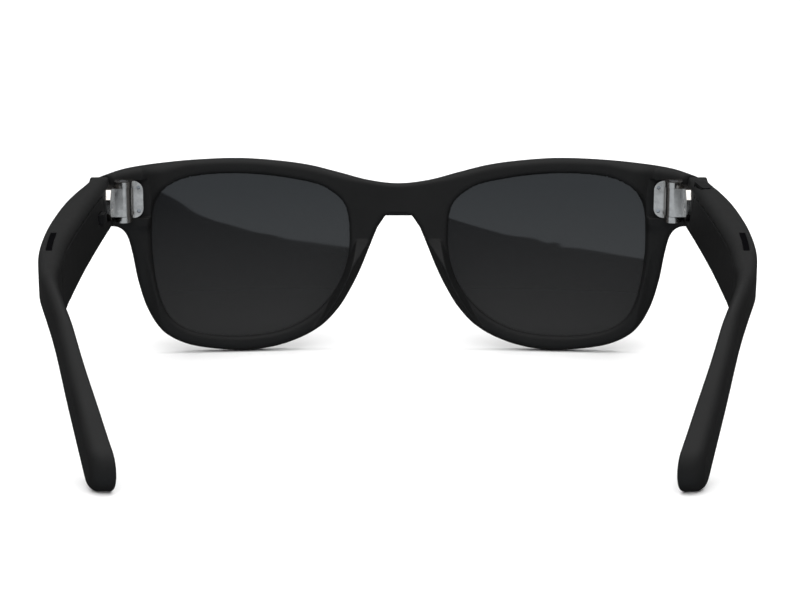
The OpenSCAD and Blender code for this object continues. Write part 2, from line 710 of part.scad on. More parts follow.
module temple_shell(side) {
    color(black) on_hinge(side) difference() {
        plan_and_side(flipped(concat(outer_line, reversed(inner_line))), side_outline);
        cavity();
        cover_space(fit);
        temple_leaf_body(fit);
        leaf_screw_hole();
        vent_space(fit, arm_up - mesh_in - mesh_t - fit, arm_up + 1);
        vent_space(-mesh_land, 0, arm_up);
        sound_port_space(fit, port_z - 2, port_z + mesh_in + mesh_t + fit);
        sound_port_space(-mesh_land, port_z, 0);
        microphone_hole();
        if (side == "right") button_hole();
    }
}
module temple_cover(side) {
    color(black) on_hinge(side) difference() {
        cover_space(0);
        if (side == "left") slider_slot();
    }
}
module vent_mesh(side) {
    color("#0c0c0d") on_hinge(side) vent_space(0, arm_up - mesh_in - mesh_t, arm_up - mesh_in);
}
module speaker_mesh(side) {
    color("#0c0c0d") on_hinge(side) sound_port_space(0, port_z + mesh_in, port_z + mesh_in + mesh_t);
}

// ---- Temple leaf --------------------------------------------------------------------------------

leaf_angle = atan((inner_x(ay(0.07)) - inner_x(arm_front)) / (ay(0.07) - arm_front));
leaf_face = inner_x(arm_front) - 0.1; // the plate stands a little proud of the arm's inner face
leaf_y1 = cover_y0 - 1.4;
leaf_h = knuckle_h + 0.6;
web_front = 0.6; // how far the web reaches in front of the pin

// The plate's side view: its rear corners are cut at an angle
module leaf_side_shape(room) {
    z1 = leaf_h / 2 + room;
    y1 = leaf_y1 + room;
    polygon([
        [0.2 - room, -z1], [y1 - 2, -z1], [y1, -z1 + 2], [y1, z1 - 2], [y1 - 2, z1], [0.2 - room, z1]
    ]);
}
module temple_leaf_plate(room) {
    translate([leaf_face, arm_front, 0]) rotate([0, 0, -leaf_angle]) translate([-room, 0, 0])
        rotate([90, 0, 90]) linear_extrude(leaf_t + 2 * room) leaf_side_shape(room);
}
module temple_leaf_body(room) {
    temple_leaf_plate(room);
    // The web from the barrel to the plate
    translate([0, -web_front - room, -knuckle_h / 2 - room])
        cube([leaf_face + leaf_t - 0.1, barrel_r + web_front + 2 * room, knuckle_h + 2 * room]);
}
module temple_leaf(side) {
    color(steel) on_hinge(side) difference() {
        union() {
            translate([0, 0, -knuckle_h / 2]) cylinder(r = barrel_r, h = knuckle_h, $fn = ring_fn);
            temple_leaf_body(0);
        }
        cylinder(r = pin_r + pin_fit, h = far, center = true, $fn = ring_fn);
        leaf_screw_hole();
    }
}
leaf_screw_r = 0.6;
leaf_screw_head_r = 1.1;
leaf_screw_y = leaf_y1 - 2.6;
leaf_screw_z = -0.6;
leaf_screw_head_t = 0.6;
leaf_screw_l = leaf_t + 1;
// The screw's own frame: +Z into the arm, 0 at the face of the leaf
module on_leaf_screw() {
    translate([leaf_face, arm_front, 0]) rotate([0, 0, -leaf_angle])
        translate([0, leaf_screw_y, leaf_screw_z]) rotate([0, 90, 0]) children();
}
module leaf_screw_hole() on_leaf_screw() {
    cylinder(r = leaf_screw_r + screw_fit, h = leaf_screw_l + 2 * fit, $fn = ring_fn);
    translate([0, 0, -1])
        cylinder(r = leaf_screw_head_r + screw_fit, h = leaf_screw_head_t + 1 + 2 * fit, $fn = ring_fn);
}
module leaf_screw(side) color(steel) on_hinge(side) on_leaf_screw() {
    translate([0, 0, 2 * fit]) cylinder(r = leaf_screw_r, h = leaf_screw_l - fit, $fn = ring_fn);
    translate([0, 0, fit]) cylinder(r = leaf_screw_head_r, h = leaf_screw_head_t, $fn = ring_fn);
}

// ---- Inside the arms ----------------------------------------------------------------------------

// What lies inside keeps clear of the outer wall, of the inner cover and of the edges of the opening
in_a = wall + gap;
function arm_depth(y) = outer_x(y) - inner_x(y);
function in_b(y0, y1) = min([for (i = [0:8]) arm_depth(y0 + (y1 - y0) * i / 8)]) - cover_t - gap;
in_top = arm_up - wall - rebate - gap;
in_low = low_z(0) + wall + rebate + gap;

battery_y0 = 22;
battery_y1 = port_y - 6;
speaker_y0 = port_y - 4.5;
speaker_y1 = cavity_y1 - 0.4;
speaker_in = 0.6;
temple_flex_w = 4.6;
mic_y = 14;
mic_l = 3;
mic_w = 1.6;
mic_t = 0.9;
mic_hole_r = 0.4;
board_y0 = 20;
board_t = 0.8;
touch_a = in_a + 0.4;
touch_t = 0.2;
touch_y1 = 58;
board_a = touch_a + touch_t + 0.3;
shield_y0 = 25;
shield_y1 = 45;
shield_in = 0.8;

module battery() {
    b = in_b(battery_y0, battery_y1);
    color("#8d9196") on_hinge("left") along_outer(battery_y0, battery_y1, in_a + 0.5, b, in_low, in_top);
}
module speaker(side) {
    b = in_b(speaker_y0, speaker_y1);
    color("#33363a") on_hinge(side)
        along_outer(speaker_y0, speaker_y1, in_a, b, in_low + speaker_in, in_top - speaker_in);
}
module temple_flex(side) {
    z = temple_flex_w / 2;
    color("#7a4a1c") on_hinge(side) along_outer(cavity_y0 + 8, speaker_y0 - 0.3, in_a, in_a + flex_t, -z, z);
}
module microphone(side) {
    a = in_a + 0.4;
    color(steel) on_hinge(side) along_outer(mic_y, mic_y + mic_l, a, a + mic_w, in_low, in_low + mic_t);
}
module microphone_hole() {
    y = mic_y + mic_l / 2;
    translate([outer_x(y) - in_a - 1.2, y, low_z(mic_y) - 1]) cylinder(r = mic_hole_r, h = 3, $fn = 24);
}
// The touch pad lies against the outer wall, with the main board and its shielded chips behind it
module touch_pad() {
    color("#b58a3a") on_hinge("right")
        along_outer(board_y0, touch_y1, touch_a, touch_a + touch_t, in_low, in_top);
}
module main_board() {
    color(board_green) on_hinge("right")
        along_outer(board_y0, speaker_y0 - 1, board_a, board_a + board_t, in_low, in_top);
}
module processor_shield() {
    b = in_b(shield_y0, shield_y1);
    color(steel) on_hinge("right")
        along_outer(shield_y0, shield_y1, board_a + board_t + fit, b, in_low + shield_in, in_top - shield_in);
}

// ---- Capture button and power slider ------------------------------------------------------------

button_y = 7.4;
button_x_in = 3.1; // middle of the button, inside the outer face
button_proud = 0.2; // how far the button stands above the arm
button_x = outer_x(button_y) - button_x_in;
button_lean = atan((outer_x(button_y + 2) - outer_x(button_y - 2)) / 4);
module pill(l, w, h) {
    for (s = [-1, 1]) translate([0, s * (l - w) / 2, 0]) cylinder(r = w / 2, h = h, $fn = ring_fn);
    translate([-w / 2, -(l - w) / 2, 0]) cube([w, l - w, h]);
}
module on_button() translate([button_x, button_y, arm_up]) rotate([0, 0, -button_lean]) children();
// The button's flange holds it in under the wall, above a switch
flange_t = 0.5;
flange_w = 0.4;
flange_low = -wall - 0.1 - flange_t;
switch_size = [2.4, 3.2, 1];
switch_gap = 0.1; // between the pressed button and its switch
switch_low = flange_low - button_travel - switch_gap - switch_size[2];
module capture_button() {
    color(black) on_hinge("right") on_button() {
        translate([0, 0, flange_low]) {
            pill(button_l, button_w, button_proud - flange_low);
            pill(button_l + 2 * flange_w, button_w + 2 * flange_w, flange_t);
        }
    }
}
module button_hole() on_button() {
    room = 2 * gap;
    pocket_low = switch_low - 0.5;
    translate([0, 0, -wall - 1]) pill(button_l + room, button_w + room, wall + 3);
    translate([0, 0, pocket_low])
        pill(button_l + 2 * flange_w + room, button_w + 2 * flange_w + room, -wall - fit - pocket_low);
}
module button_switch() {
    color(steel) on_hinge("right") on_button()
        translate([-switch_size[0] / 2, -switch_size[1] / 2, switch_low]) cube(switch_size);
}

slider_y = 15.5;
slider_h = 2.2;
slider_proud = 0.25;
slider_in = cover_t + 0.3; // how far the finger piece reaches through the cover
slider_z = -0.6;
rib_t = 0.4;
rib_pitch = 0.9;
slider_angle = atan((inner_x(slider_y + 2) - inner_x(slider_y - 2)) / 4);
// The slider's own frame: +X into the arm, +Y along its travel
module on_slider() {
    translate([inner_x(slider_y), slider_y, slider_z]) rotate([0, 0, -slider_angle]) children();
}
module slider_slot() {
    on_slider() translate([-1, -slider_l / 2 - gap, -slider_h / 2 - gap])
        cube([cover_t + 3, slider_l + slider_travel + 2 * gap, slider_h + 2 * gap]);
}
module power_slider() {
    color("#3a3c3e") on_hinge("left") on_slider() {
        translate([-slider_proud, -slider_l / 2, -slider_h / 2])
            cube([slider_proud + slider_in, slider_l, slider_h]);
        for (k = [-1:1]) translate([-slider_proud - 0.15, k * rib_pitch - rib_t / 2, -slider_h / 2])
            cube([0.3, rib_t, slider_h]);
    }
}
module slide_switch() {
    color(steel) on_hinge("left") on_slider()
        translate([slider_in + gap, -slider_l / 2 - 0.4, -slider_h])
            cube([1, slider_l + slider_travel + 0.8, 2 * slider_h]);
}

// ---- The nodes ----------------------------------------------------------------------------------

front_shell();
rear_shell();
lens("left");  // lens_left
lens("right");  // lens_right
nose_pad("left");  // nose_pad_left
nose_pad("right");  // nose_pad_right
bezel("left");  // camera_bezel
window_pane("left");  // camera_window
camera_module();
bezel("right");  // light_bezel
window_pane("right");  // light_window
capture_light();
brow_flex();
bridge_microphone();
charge_port();
charge_contacts();
front_leaf("left");  // front_leaf_left
front_leaf("right");  // front_leaf_right
front_leaf_screws();
hinge_pin("left");  // hinge_pin_left
hinge_pin("right");  // hinge_pin_right
temple_shell("left");  // temple_shell_left
temple_cover("left");  // temple_cover_left
temple_leaf("left");  // temple_leaf_left
leaf_screw("left");  // leaf_screw_left
battery();
speaker("left");  // speaker_left
vent_mesh("left");  // vent_mesh_left
speaker_mesh("left");  // speaker_mesh_left
microphone("left");  // microphone_left
temple_flex("left");  // temple_flex_left
power_slider();
slide_switch();
temple_shell("right");  // temple_shell_right
temple_cover("right");  // temple_cover_right
temple_leaf("right");  // temple_leaf_right
leaf_screw("right");  // leaf_screw_right
main_board();
processor_shield();
speaker("right");  // speaker_right
vent_mesh("right");  // vent_mesh_right
speaker_mesh("right");  // speaker_mesh_right
microphone("right");  // microphone_right
temple_flex("right");  // temple_flex_right
touch_pad();
capture_button();
button_switch();
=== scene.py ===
"""Looks for the smart glasses: moulded shells, glossy lenses, satin steel hinges and a pale studio.

Lengths are in millimetres in the parts' own frames, and become metres where a mesh is made.
The front's frame: x across, y back and z up on the front before it leans, 0 at the middle of the rims.
A temple's frame: the hinge pin is along z at 0 and the arm runs along +y, for the left side.
"""

import json
import math

import bmesh
import bpy
import numpy as np
import openvdb as vdb
from mathutils import Matrix, Vector


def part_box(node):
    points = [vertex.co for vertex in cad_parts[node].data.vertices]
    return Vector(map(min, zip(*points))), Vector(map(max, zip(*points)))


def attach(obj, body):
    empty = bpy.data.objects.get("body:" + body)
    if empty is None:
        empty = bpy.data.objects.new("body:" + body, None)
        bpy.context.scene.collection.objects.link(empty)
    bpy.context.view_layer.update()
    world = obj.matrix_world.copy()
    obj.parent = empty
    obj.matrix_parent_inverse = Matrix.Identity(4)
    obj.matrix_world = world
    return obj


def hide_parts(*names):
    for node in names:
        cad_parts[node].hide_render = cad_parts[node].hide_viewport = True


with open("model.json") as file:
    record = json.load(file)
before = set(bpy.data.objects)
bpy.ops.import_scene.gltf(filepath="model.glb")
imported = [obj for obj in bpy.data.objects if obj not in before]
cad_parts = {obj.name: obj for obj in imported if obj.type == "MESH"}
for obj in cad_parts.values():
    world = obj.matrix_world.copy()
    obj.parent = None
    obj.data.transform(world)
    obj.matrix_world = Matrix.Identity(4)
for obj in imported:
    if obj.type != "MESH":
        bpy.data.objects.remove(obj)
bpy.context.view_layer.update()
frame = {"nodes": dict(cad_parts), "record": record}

MM = 0.001

# ---- Sizes --------------------------------------------------------------------------------------

# The lenses and the rims around them
LENS_H = 41.6
LENS_R = 130.0
LENS_T = 2.0
GROOVE_D = 0.9
RIM_T = 5.0
RIM_BOTTOM = 2.7
BROW_H = 2.9
PAD_H = 4.4
# The front's curve and lean, its corners and the scoop behind the bridge
END_W = 13.8
WRAP_R = 320.0
FRONT_LEAN = 5.0
SCOOP_D = 0.9
SCOOP_HALF_W = 12.4
CORNER_R = 11.0
# The hinges: below the lens box's top, behind the rims, and from the hinge face to the pin
HINGE_DROP = 7.3
END_RAISE = 1.46
HINGE_BACK = 2.15
# The temples: the arm up to the bend, the bend, the tip, and the step under the arm
ARM_L = 92.0
TIP_L = 59.0
TIP_DROP = 26.0
BEND_R = 34.0
TIP_R = 4.8
TIP_LOW_DOWN = 3.3
ARM_UP = 5.6
ARM_DOWN = 5.4
ARM_SWELL = 2.2
STEP_BACK = 12.5
# Play between pieces: pressed in, screwed down and sliding
SNUG = 0.05
LEAF_ROOM = 0.06
SLIDING = 0.15

# Read from the frame: the lens box, and the left hinge's place and slope
lens_low, lens_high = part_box("lens_left")
BRIDGE_W = 2 * lens_low.x / MM
LENS_W = (lens_high.x - lens_low.x) / MM
joints = {joint["name"]: joint for joint in frame["record"]["behaviour"]["joints"]}
hinge_row = Vector(joints["temple_left_fold"]["pos_m"]) / MM
hinge_axis = Vector(joints["temple_left_fold"]["axis"])
SLOPE = math.atan2(hinge_axis.y, hinge_axis.z)
HINGE_X = hinge_row.x


def lx(u):
    """Across the left lens box: 0 at its nose side and 1 at its far side."""
    return BRIDGE_W / 2 + u * LENS_W


def lz(v):
    """Up the lens box: 0 at its bottom and 1 at its top."""
    return RIM_BOTTOM + v * LENS_H


LENS_X = lx(0.5)
LENS_Z = lz(0.5)
FRONT_HALF_W = lx(1) + END_W
BROW_TOP = lz(1) + BROW_H
HINGE_Z = lz(1) - HINGE_DROP
END_TOP = WRAP_R - math.sqrt((WRAP_R - RIM_T / 2) ** 2 - HINGE_X**2) + END_RAISE
HINGE_LOCAL = Vector((HINGE_X, END_TOP + HINGE_BACK, HINGE_Z))

# The front's frame and a temple's frame in the row frame, in millimetres
lean = Matrix.Rotation(math.radians(FRONT_LEAN), 4, "X")
FRONT_PLACE = Matrix.Translation(hinge_row - lean @ HINGE_LOCAL) @ lean
TEMPLE_PLACE = Matrix.Translation(hinge_row) @ Matrix.Rotation(-SLOPE, 4, "X")
FRONT_TO_TEMPLE = TEMPLE_PLACE.inverted() @ FRONT_PLACE
MIRROR = Matrix.Scale(-1, 4, Vector((1, 0, 0)))

# ---- Curves -------------------------------------------------------------------------------------


def between(a, b, c, d, t):
    """A point between b and c on the smooth curve through four points."""
    a, b, c, d = map(np.asarray, (a, b, c, d))
    square = 2 * a - 5 * b + 4 * c - d
    cube = 3 * b - a - 3 * c + d
    return (2 * b + (c - a) * t + square * t**2 + cube * t**3) / 2


def closed_curve(points, steps=10):
    """Points along a smooth closed curve through the given ones."""
    n = len(points)
    return np.array([
        between(points[i - 1], points[i], points[(i + 1) % n], points[(i + 2) % n], k / steps)
        for i in range(n)
        for k in range(steps)
    ])


def open_curve(points, steps=10):
    """Points along a smooth open curve through the given ones."""
    n = len(points)
    found = [
        between(points[max(i - 1, 0)], points[i], points[i + 1], points[min(i + 2, n - 1)], k / steps)
        for i in range(n - 1)
        for k in range(steps)
    ]
    return np.array(found + [np.asarray(points[-1], float)])


# The left lens about its middle, as shares of the lens box, from its nose side over the top and back
LENS_SHAPE = closed_curve([
    (-0.500, 0.100), (-0.476, 0.300), (-0.372, 0.413), (-0.214, 0.466), (0.005, 0.498),
    (0.235, 0.492), (0.388, 0.440), (0.483, 0.322), (0.500, 0.110), (0.484, -0.130),
    (0.436, -0.325), (0.345, -0.441), (0.200, -0.492), (0.015, -0.500), (-0.155, -0.468),
    (-0.300, -0.380), (-0.411, -0.245), (-0.478, -0.085),
])


def lens_outline(inset):
    """The left lens shape in the front's x and z, smaller than the lens box by inset on every side."""
    size = np.array([LENS_W - 2 * inset, LENS_H - 2 * inset])
    return np.array([LENS_X, LENS_Z]) + LENS_SHAPE * size


ARCH_Z = lz(0.723)
ARCH_HALF_W = 3.4
HALF_OUTLINE = [
    # The brow, from the middle of the bridge to the outer corner
    (0, lz(0.918)), (lx(-0.076), lz(0.938)), (lx(0.07), lz(0.984)), (lx(0.22), BROW_TOP - 1.7),
    (lx(0.38), BROW_TOP - 0.6), (lx(0.56), BROW_TOP), (lx(0.76), BROW_TOP - 0.3),
    (lx(0.94), BROW_TOP - 1.1), (lx(1) + 4.5, BROW_TOP - 2.2), (lx(1) + 9, BROW_TOP - 3.5),
    # The end piece
    (FRONT_HALF_W - 1.2, lz(1) - 2.4), (FRONT_HALF_W, lz(1) - 6.2), (FRONT_HALF_W - 0.4, lz(1) - 10.4),
    (FRONT_HALF_W - 2.8, lz(1) - 13.2), (lx(1) + 7.2, lz(1) - 13.9), (lx(1) + 5.2, lz(0.62)),
    # The rim, down the far side of the lens and back up to the bridge
    (lx(1) + 4.0, lz(0.52)), (lx(1) + 2.6, lz(0.34)), (lx(1) + 0.3, lz(0.17)),
    (lx(0.93), RIM_BOTTOM - 0.1 + LENS_H * 0.05), (lx(0.81), RIM_BOTTOM - 1.2), (lx(0.64), 0.1),
    (lx(0.48), 0), (lx(0.32), RIM_BOTTOM - 1), (lx(0.17), lz(0.062)), (lx(0.075), lz(0.175)),
    (lx(0.01), lz(0.30)), (lx(-0.037), lz(0.415)), (lx(-0.076), lz(0.53)), (lx(-0.118), lz(0.655)),
]


def front_outline():
    """The front's whole outline in x and z, with a flat under the bridge for the charging port."""
    half = open_curve([(-HALF_OUTLINE[1][0], HALF_OUTLINE[1][1])] + HALF_OUTLINE)
    half = np.vstack([half[half[:, 0] > 0.01], [(ARCH_HALF_W, ARCH_Z)]])
    return np.vstack([half, half[::-1] * [-1, 1]])


# ---- Distance fields ----------------------------------------------------------------------------


def polygon_distance(u, v, polygon):
    """Signed distance to a closed polygon, negative inside."""
    u, v = np.broadcast_arrays(u, v)
    nearest = np.full(u.shape, np.inf)
    inside = np.zeros(u.shape, bool)
    for (u0, v0), (u1, v1) in zip(polygon, np.roll(polygon, -1, axis=0)):
        eu, ev = u1 - u0, v1 - v0
        length = eu * eu + ev * ev
        if length < 1e-12:
            continue
        wu, wv = u - u0, v - v0
        t = np.clip((wu * eu + wv * ev) / length, 0, 1)
        nearest = np.minimum(nearest, (wu - eu * t) ** 2 + (wv - ev * t) ** 2)
        if v0 != v1:
            inside ^= ((v0 <= v) != (v1 <= v)) & (u < u0 + wv * eu / ev)
    return np.where(inside, -1, 1) * np.sqrt(nearest)


class Table:
    """A field of two coordinates, tabulated once and read by linear interpolation."""

    def __init__(self, field, low, high, step=0.12):
        self.low = np.array(low, float)
        self.step = step
        size = np.ceil((np.array(high) - self.low) / step).astype(int) + 2
        u = self.low[0] + step * np.arange(size[0])[:, None]
        v = self.low[1] + step * np.arange(size[1])[None, :]
        self.values = field(u, v)

    def __call__(self, u, v):
        u, v = np.broadcast_arrays(u, v)
        a = np.clip((u - self.low[0]) / self.step, 0, self.values.shape[0] - 1.001)
        b = np.clip((v - self.low[1]) / self.step, 0, self.values.shape[1] - 1.001)
        i, j = a.astype(int), b.astype(int)
        a, b = a - i, b - j
        t = self.values
        near = t[i, j] * (1 - b) + t[i, j + 1] * b
        far = t[i + 1, j] * (1 - b) + t[i + 1, j + 1] * b
        return near * (1 - a) + far * a


def both(a, b, radius):
    """Inside both, with a rounded edge of that radius."""
    outside = np.hypot(np.maximum(a + radius, 0), np.maximum(b + radius, 0))
    return np.minimum(np.maximum(a, b), -radius) + outside


def either(a, b, blend):
    """Inside one or the other, with the corner between them filled softly."""
    h = np.clip(0.5 + 0.5 * (b - a) / blend, 0, 1)
    return b * (1 - h) + a * h - blend * h * (1 - h)


def smooth(t):
    """0 up to 0, 1 from 1 on, and a soft S between."""
    t = np.clip(t, 0, 1)
    return t * t * (3 - 2 * t)


def fade(value, start, end):
    """0 at start and 1 at end, smoothly."""
    return smooth((value - start) / (end - start))


def box_field(x, y, z, half, radius):
    """A box about the origin with rounded edges."""
    q = [np.abs(c) - h + radius for c, h in zip((x, y, z), half)]
    outside = np.sqrt(sum(np.maximum(c, 0) ** 2 for c in q))
    return outside + np.minimum(np.maximum(np.maximum(q[0], q[1]), q[2]), 0) - radius


# How a surface is refined: the rounds, the distance its slope is taken over, and the slope's least square
SKIN_ROUNDS = 3
SLOPE_STEP = 0.02
LEAST_SLOPE_SQUARED = 0.2


def skin(name, field, low, high, voxel, place, mirrored=False):
    """A mesh of the field's surface: found on a grid, then moved onto the exact surface."""
    low, high = np.array(low, float), np.array(high, float)
    counts = np.ceil((high - low) / voxel).astype(int) + 1
    axes = [low[k] + voxel * np.arange(counts[k]) for k in range(3)]
    values = field(axes[0][:, None, None], axes[1][None, :, None], axes[2][None, None, :])
    grid = vdb.FloatGrid(background=3 * voxel)
    grid.copyFromArray(np.ascontiguousarray(np.broadcast_to(values, counts), np.float32))
    points, quads = grid.convertToQuads()
    points = points.astype(float) * voxel + low
    small = SLOPE_STEP
    for _ in range(SKIN_ROUNDS):
        x, y, z = points.T
        value = field(x, y, z)
        slope = np.stack([
            field(x + small, y, z) - field(x - small, y, z),
            field(x, y + small, z) - field(x, y - small, z),
            field(x, y, z + small) - field(x, y, z - small),
        ], axis=1) / (2 * small)
        step = value[:, None] * slope / np.maximum((slope**2).sum(1), LEAST_SLOPE_SQUARED)[:, None]
        points -= np.clip(step, -voxel, voxel)
    return mesh_object(name, placed(points, place, mirrored), quads.tolist())


def placed(points, place, mirrored):
    """Points of a part's own frame in the row frame, in metres, mirrored for the right side."""
    matrix = np.array((MIRROR @ place) if mirrored else place)
    return (points @ matrix[:3, :3].T + matrix[:3, 3]) * MM


def mesh_object(name, points, faces, crease=None):
    """A smooth-shaded mesh in the row frame, with its faces turned outwards."""
    mesh = bpy.data.meshes.new(name)
    mesh.from_pydata(np.asarray(points).tolist(), [], [list(face) for face in faces])
    mesh.polygons.foreach_set("use_smooth", np.ones(len(mesh.polygons), bool))
    made = bpy.data.objects.new(name, mesh)
    bpy.context.scene.collection.objects.link(made)
    turned = bmesh.new()
    turned.from_mesh(mesh)
    bmesh.ops.recalc_face_normals(turned, faces=turned.faces)
    turned.to_mesh(mesh)
    turned.free()
    if crease is not None:
        mesh.set_sharp_from_angle(angle=math.radians(crease))
    return made


# ---- Materials ----------------------------------------------------------------------------------


class Paint:
    """A node material around one Principled shader."""

    def __init__(self, name, colour, roughness, **sockets):
        self.material = bpy.data.materials.new(name)
        self.material.use_nodes = True
        self.tree = self.material.node_tree
        self.shader = self.tree.nodes["Principled BSDF"]
        self.set(Base_Color=(*colour, 1), Roughness=roughness, **sockets)
        self.place = self.node("ShaderNodeTexCoord").outputs["Object"]

    def set(self, **sockets):
        for key, value in sockets.items():
            self.shader.inputs[key.replace("_", " ")].default_value = value

    def node(self, kind, **settings):
        made = self.tree.nodes.new(kind)
        for key, value in settings.items():
            setattr(made, key, value)
        return made

    def link(self, output, socket):
        self.tree.links.new(output, socket)

    def feed(self, socket, output):
        """Links an output to the shader's socket of that name."""
        self.link(output, self.shader.inputs[socket])

    def noise(self, size, detail=3.0, roughness=0.55, stretch=(1, 1, 1)):
        """Noise whose features are about size millimetres across."""
        mapping = self.node("ShaderNodeMapping")
        mapping.inputs["Scale"].default_value = stretch
        self.link(self.place, mapping.inputs["Vector"])
        made = self.node("ShaderNodeTexNoise")
        made.inputs["Scale"].default_value = 1 / (size * MM)
        made.inputs["Detail"].default_value = detail
        made.inputs["Roughness"].default_value = roughness
        self.link(mapping.outputs["Vector"], made.inputs["Vector"])
        return made.outputs["Fac"]

    def ramp(self, value, low, high, from_low=0.3, from_high=0.7):
        made = self.node("ShaderNodeMapRange")
        made.inputs["From Min"].default_value = from_low
        made.inputs["From Max"].default_value = from_high
        made.inputs["To Min"].default_value = low
        made.inputs["To Max"].default_value = high
        self.link(value, made.inputs["Value"])
        return made.outputs["Result"]

    def mix(self, factor, first, second):
        made = self.node("ShaderNodeMix", data_type="RGBA")
        self.link(factor, made.inputs["Factor"])
        for socket, colour in ((made.inputs["A"], first), (made.inputs["B"], second)):
            if isinstance(colour, tuple):
                socket.default_value = (*colour, 1)
            else:
                self.link(colour, socket)
        return made.outputs["Result"]

    def bump(self, height, strength, distance):
        """Adds a bump of that height in millimetres on top of any that is there."""
        made = self.node("ShaderNodeBump")
        made.inputs["Strength"].default_value = strength
        made.inputs["Distance"].default_value = distance * MM
        self.link(height, made.inputs["Height"])
        if self.shader.inputs["Normal"].is_linked:
            self.link(self.shader.inputs["Normal"].links[0].from_socket, made.inputs["Normal"])
        self.feed("Normal", made.outputs["Normal"])


def shade(colour, factor):
    """A lighter or darker version of a colour."""
    return tuple(c * factor for c in colour)


def moulded(name, colour, roughness, grain=0.22, grain_height=0.006):
    """Moulded plastic: a fine eggshell grain, and faint mottling of its colour and its gloss."""
    paint = Paint(name, colour, roughness, Specular_IOR_Level=0.17)
    cloud = paint.noise(9, detail=4)
    fine = paint.noise(grain, detail=2)
    paint.feed("Base Color", paint.mix(paint.ramp(cloud, 0, 1), shade(colour, 0.88), shade(colour, 1.16)))
    paint.feed("Roughness", paint.ramp(cloud, roughness - 0.035, roughness + 0.035))
    paint.bump(fine, 0.5, grain_height)
    return paint.material


def metal(name, colour, roughness, stretch, grain=0.25):
    """Satin metal with fine tooling marks along one direction."""
    paint = Paint(name, colour, roughness, Metallic=1.0)
    lines = paint.noise(grain, detail=3, stretch=stretch)
    spots = paint.noise(1.6, detail=3)
    paint.feed("Roughness", paint.ramp(spots, roughness - 0.06, roughness + 0.07))
    dull_spots = paint.ramp(spots, 0, 1, 0.35, 0.75)
    paint.feed("Base Color", paint.mix(dull_spots, colour, shade(colour, 0.84)))
    paint.bump(lines, 0.35, 0.006)
    return paint.material


def tinted_glass(name, tint, low_tint=None, from_z=0, to_z=1):
    """A dark tint under a hard gloss with a trace of haze; a second tint may take over lower down."""
    paint = Paint(name, tint, 0.035, Specular_IOR_Level=0.5, IOR=1.5)
    if low_tint:
        place = paint.node("ShaderNodeSeparateXYZ")
        paint.link(paint.place, place.inputs["Vector"])
        height = paint.ramp(place.outputs["Z"], 0, 1, from_z, to_z)
        paint.feed("Base Color", paint.mix(height, low_tint, tint))
    haze = paint.noise(14, detail=3)
    paint.feed("Roughness", paint.ramp(haze, 0.02, 0.045))
    return paint.material


# Texture scales that give wires 0.35 mm apart and board cells 1.4 mm across
WIRE_SCALE = 900
BOARD_SCALE = 700


def woven_mesh(name):
    """Fine black mesh: two crossed sets of wires, with the holes between them painted near-black as
    painted shade for the dark hollow seen through them.
    """
    paint = Paint(name, (0.008, 0.008, 0.009), 0.8, Specular_IOR_Level=0.0)
    waves = []
    for direction in ("X", "Y"):
        wave = paint.node("ShaderNodeTexWave", wave_type="BANDS", bands_direction=direction)
        wave.inputs["Scale"].default_value = WIRE_SCALE
        paint.link(paint.place, wave.inputs["Vector"])
        waves.append(wave.outputs["Fac"])
    crossed = paint.node("ShaderNodeMath", operation="MAXIMUM")
    paint.link(waves[0], crossed.inputs[0])
    paint.link(waves[1], crossed.inputs[1])
    wires = crossed.outputs[0]
    # Painted shade: the holes between the wires are painted far darker than the wires, standing in for the
    # shaded hollow behind the mesh
    paint.feed("Base Color", paint.mix(wires, (0.0005, 0.0005, 0.0005), (0.0035, 0.0035, 0.004)))
    paint.bump(wires, 0.8, 0.08)
    return paint.material


def circuit_board(name):
    """Solder mask with faint tracks and pads."""
    paint = Paint(name, (0.01, 0.07, 0.03), 0.32, Coat_Weight=0.3)
    cells = paint.node("ShaderNodeTexVoronoi", feature="F1", distance="MANHATTAN")
    cells.inputs["Scale"].default_value = BOARD_SCALE
    paint.link(paint.place, cells.inputs["Vector"])
    tracks = paint.ramp(cells.outputs["Distance"], 1, 0, 0.1, 0.3)
    paint.feed("Base Color", paint.mix(tracks, (0.008, 0.06, 0.025), (0.04, 0.16, 0.07)))
    paint.bump(cells.outputs["Distance"], 0.4, 0.03)
    return paint.material


FRAME_COLOUR = (0.005, 0.0051, 0.0052)
WINDOW_TINT = (0.012, 0.013, 0.016)
LENS_TOP_TINT = (0.004, 0.0045, 0.0052)
LENS_LOW_TINT = (0.0165, 0.0168, 0.0172)
# The lens tint changes between two heights, this many metres inside the lens box
TINT_IN = 0.004

FRAME = moulded("frame_plastic", FRAME_COLOUR, 0.66)
PAD = moulded("pad_plastic", FRAME_COLOUR, 0.4, grain=0.3)
BUTTON = moulded("button_plastic", (0.0032, 0.0034, 0.0037), 0.45, grain=0.16)
SLIDER = moulded("slider_plastic", (0.0048, 0.005, 0.0053), 0.42, grain=0.16)
STEEL = metal("hinge_steel", (0.48, 0.46, 0.44), 0.2, (1, 1, 0.12))
PIN = metal("pin_steel", (0.42, 0.43, 0.45), 0.3, (1, 1, 1))
TIN = metal("can_tin", (0.66, 0.67, 0.68), 0.34, (1, 0.2, 1))
GOLD = metal("contact_gold", (0.83, 0.6, 0.24), 0.22, (1, 1, 1))
FOIL = metal("battery_foil", (0.5, 0.52, 0.55), 0.4, (1, 0.1, 1), grain=0.5)
BEZEL = moulded("bezel_gloss", (0.006, 0.006, 0.007), 0.12, grain=0.8, grain_height=0.001)
CAMERA = moulded("camera_body", (0.008, 0.008, 0.01), 0.3, grain=0.4)
DIFFUSER = moulded("light_diffuser", (0.75, 0.75, 0.72), 0.5)
FLEX = moulded("flex_film", (0.34, 0.16, 0.03), 0.25, grain=1.5, grain_height=0.002)
SPEAKER = moulded("speaker_body", (0.03, 0.03, 0.033), 0.5)
BOARD = circuit_board("main_board_mask")
MESH = woven_mesh("mesh_wire")
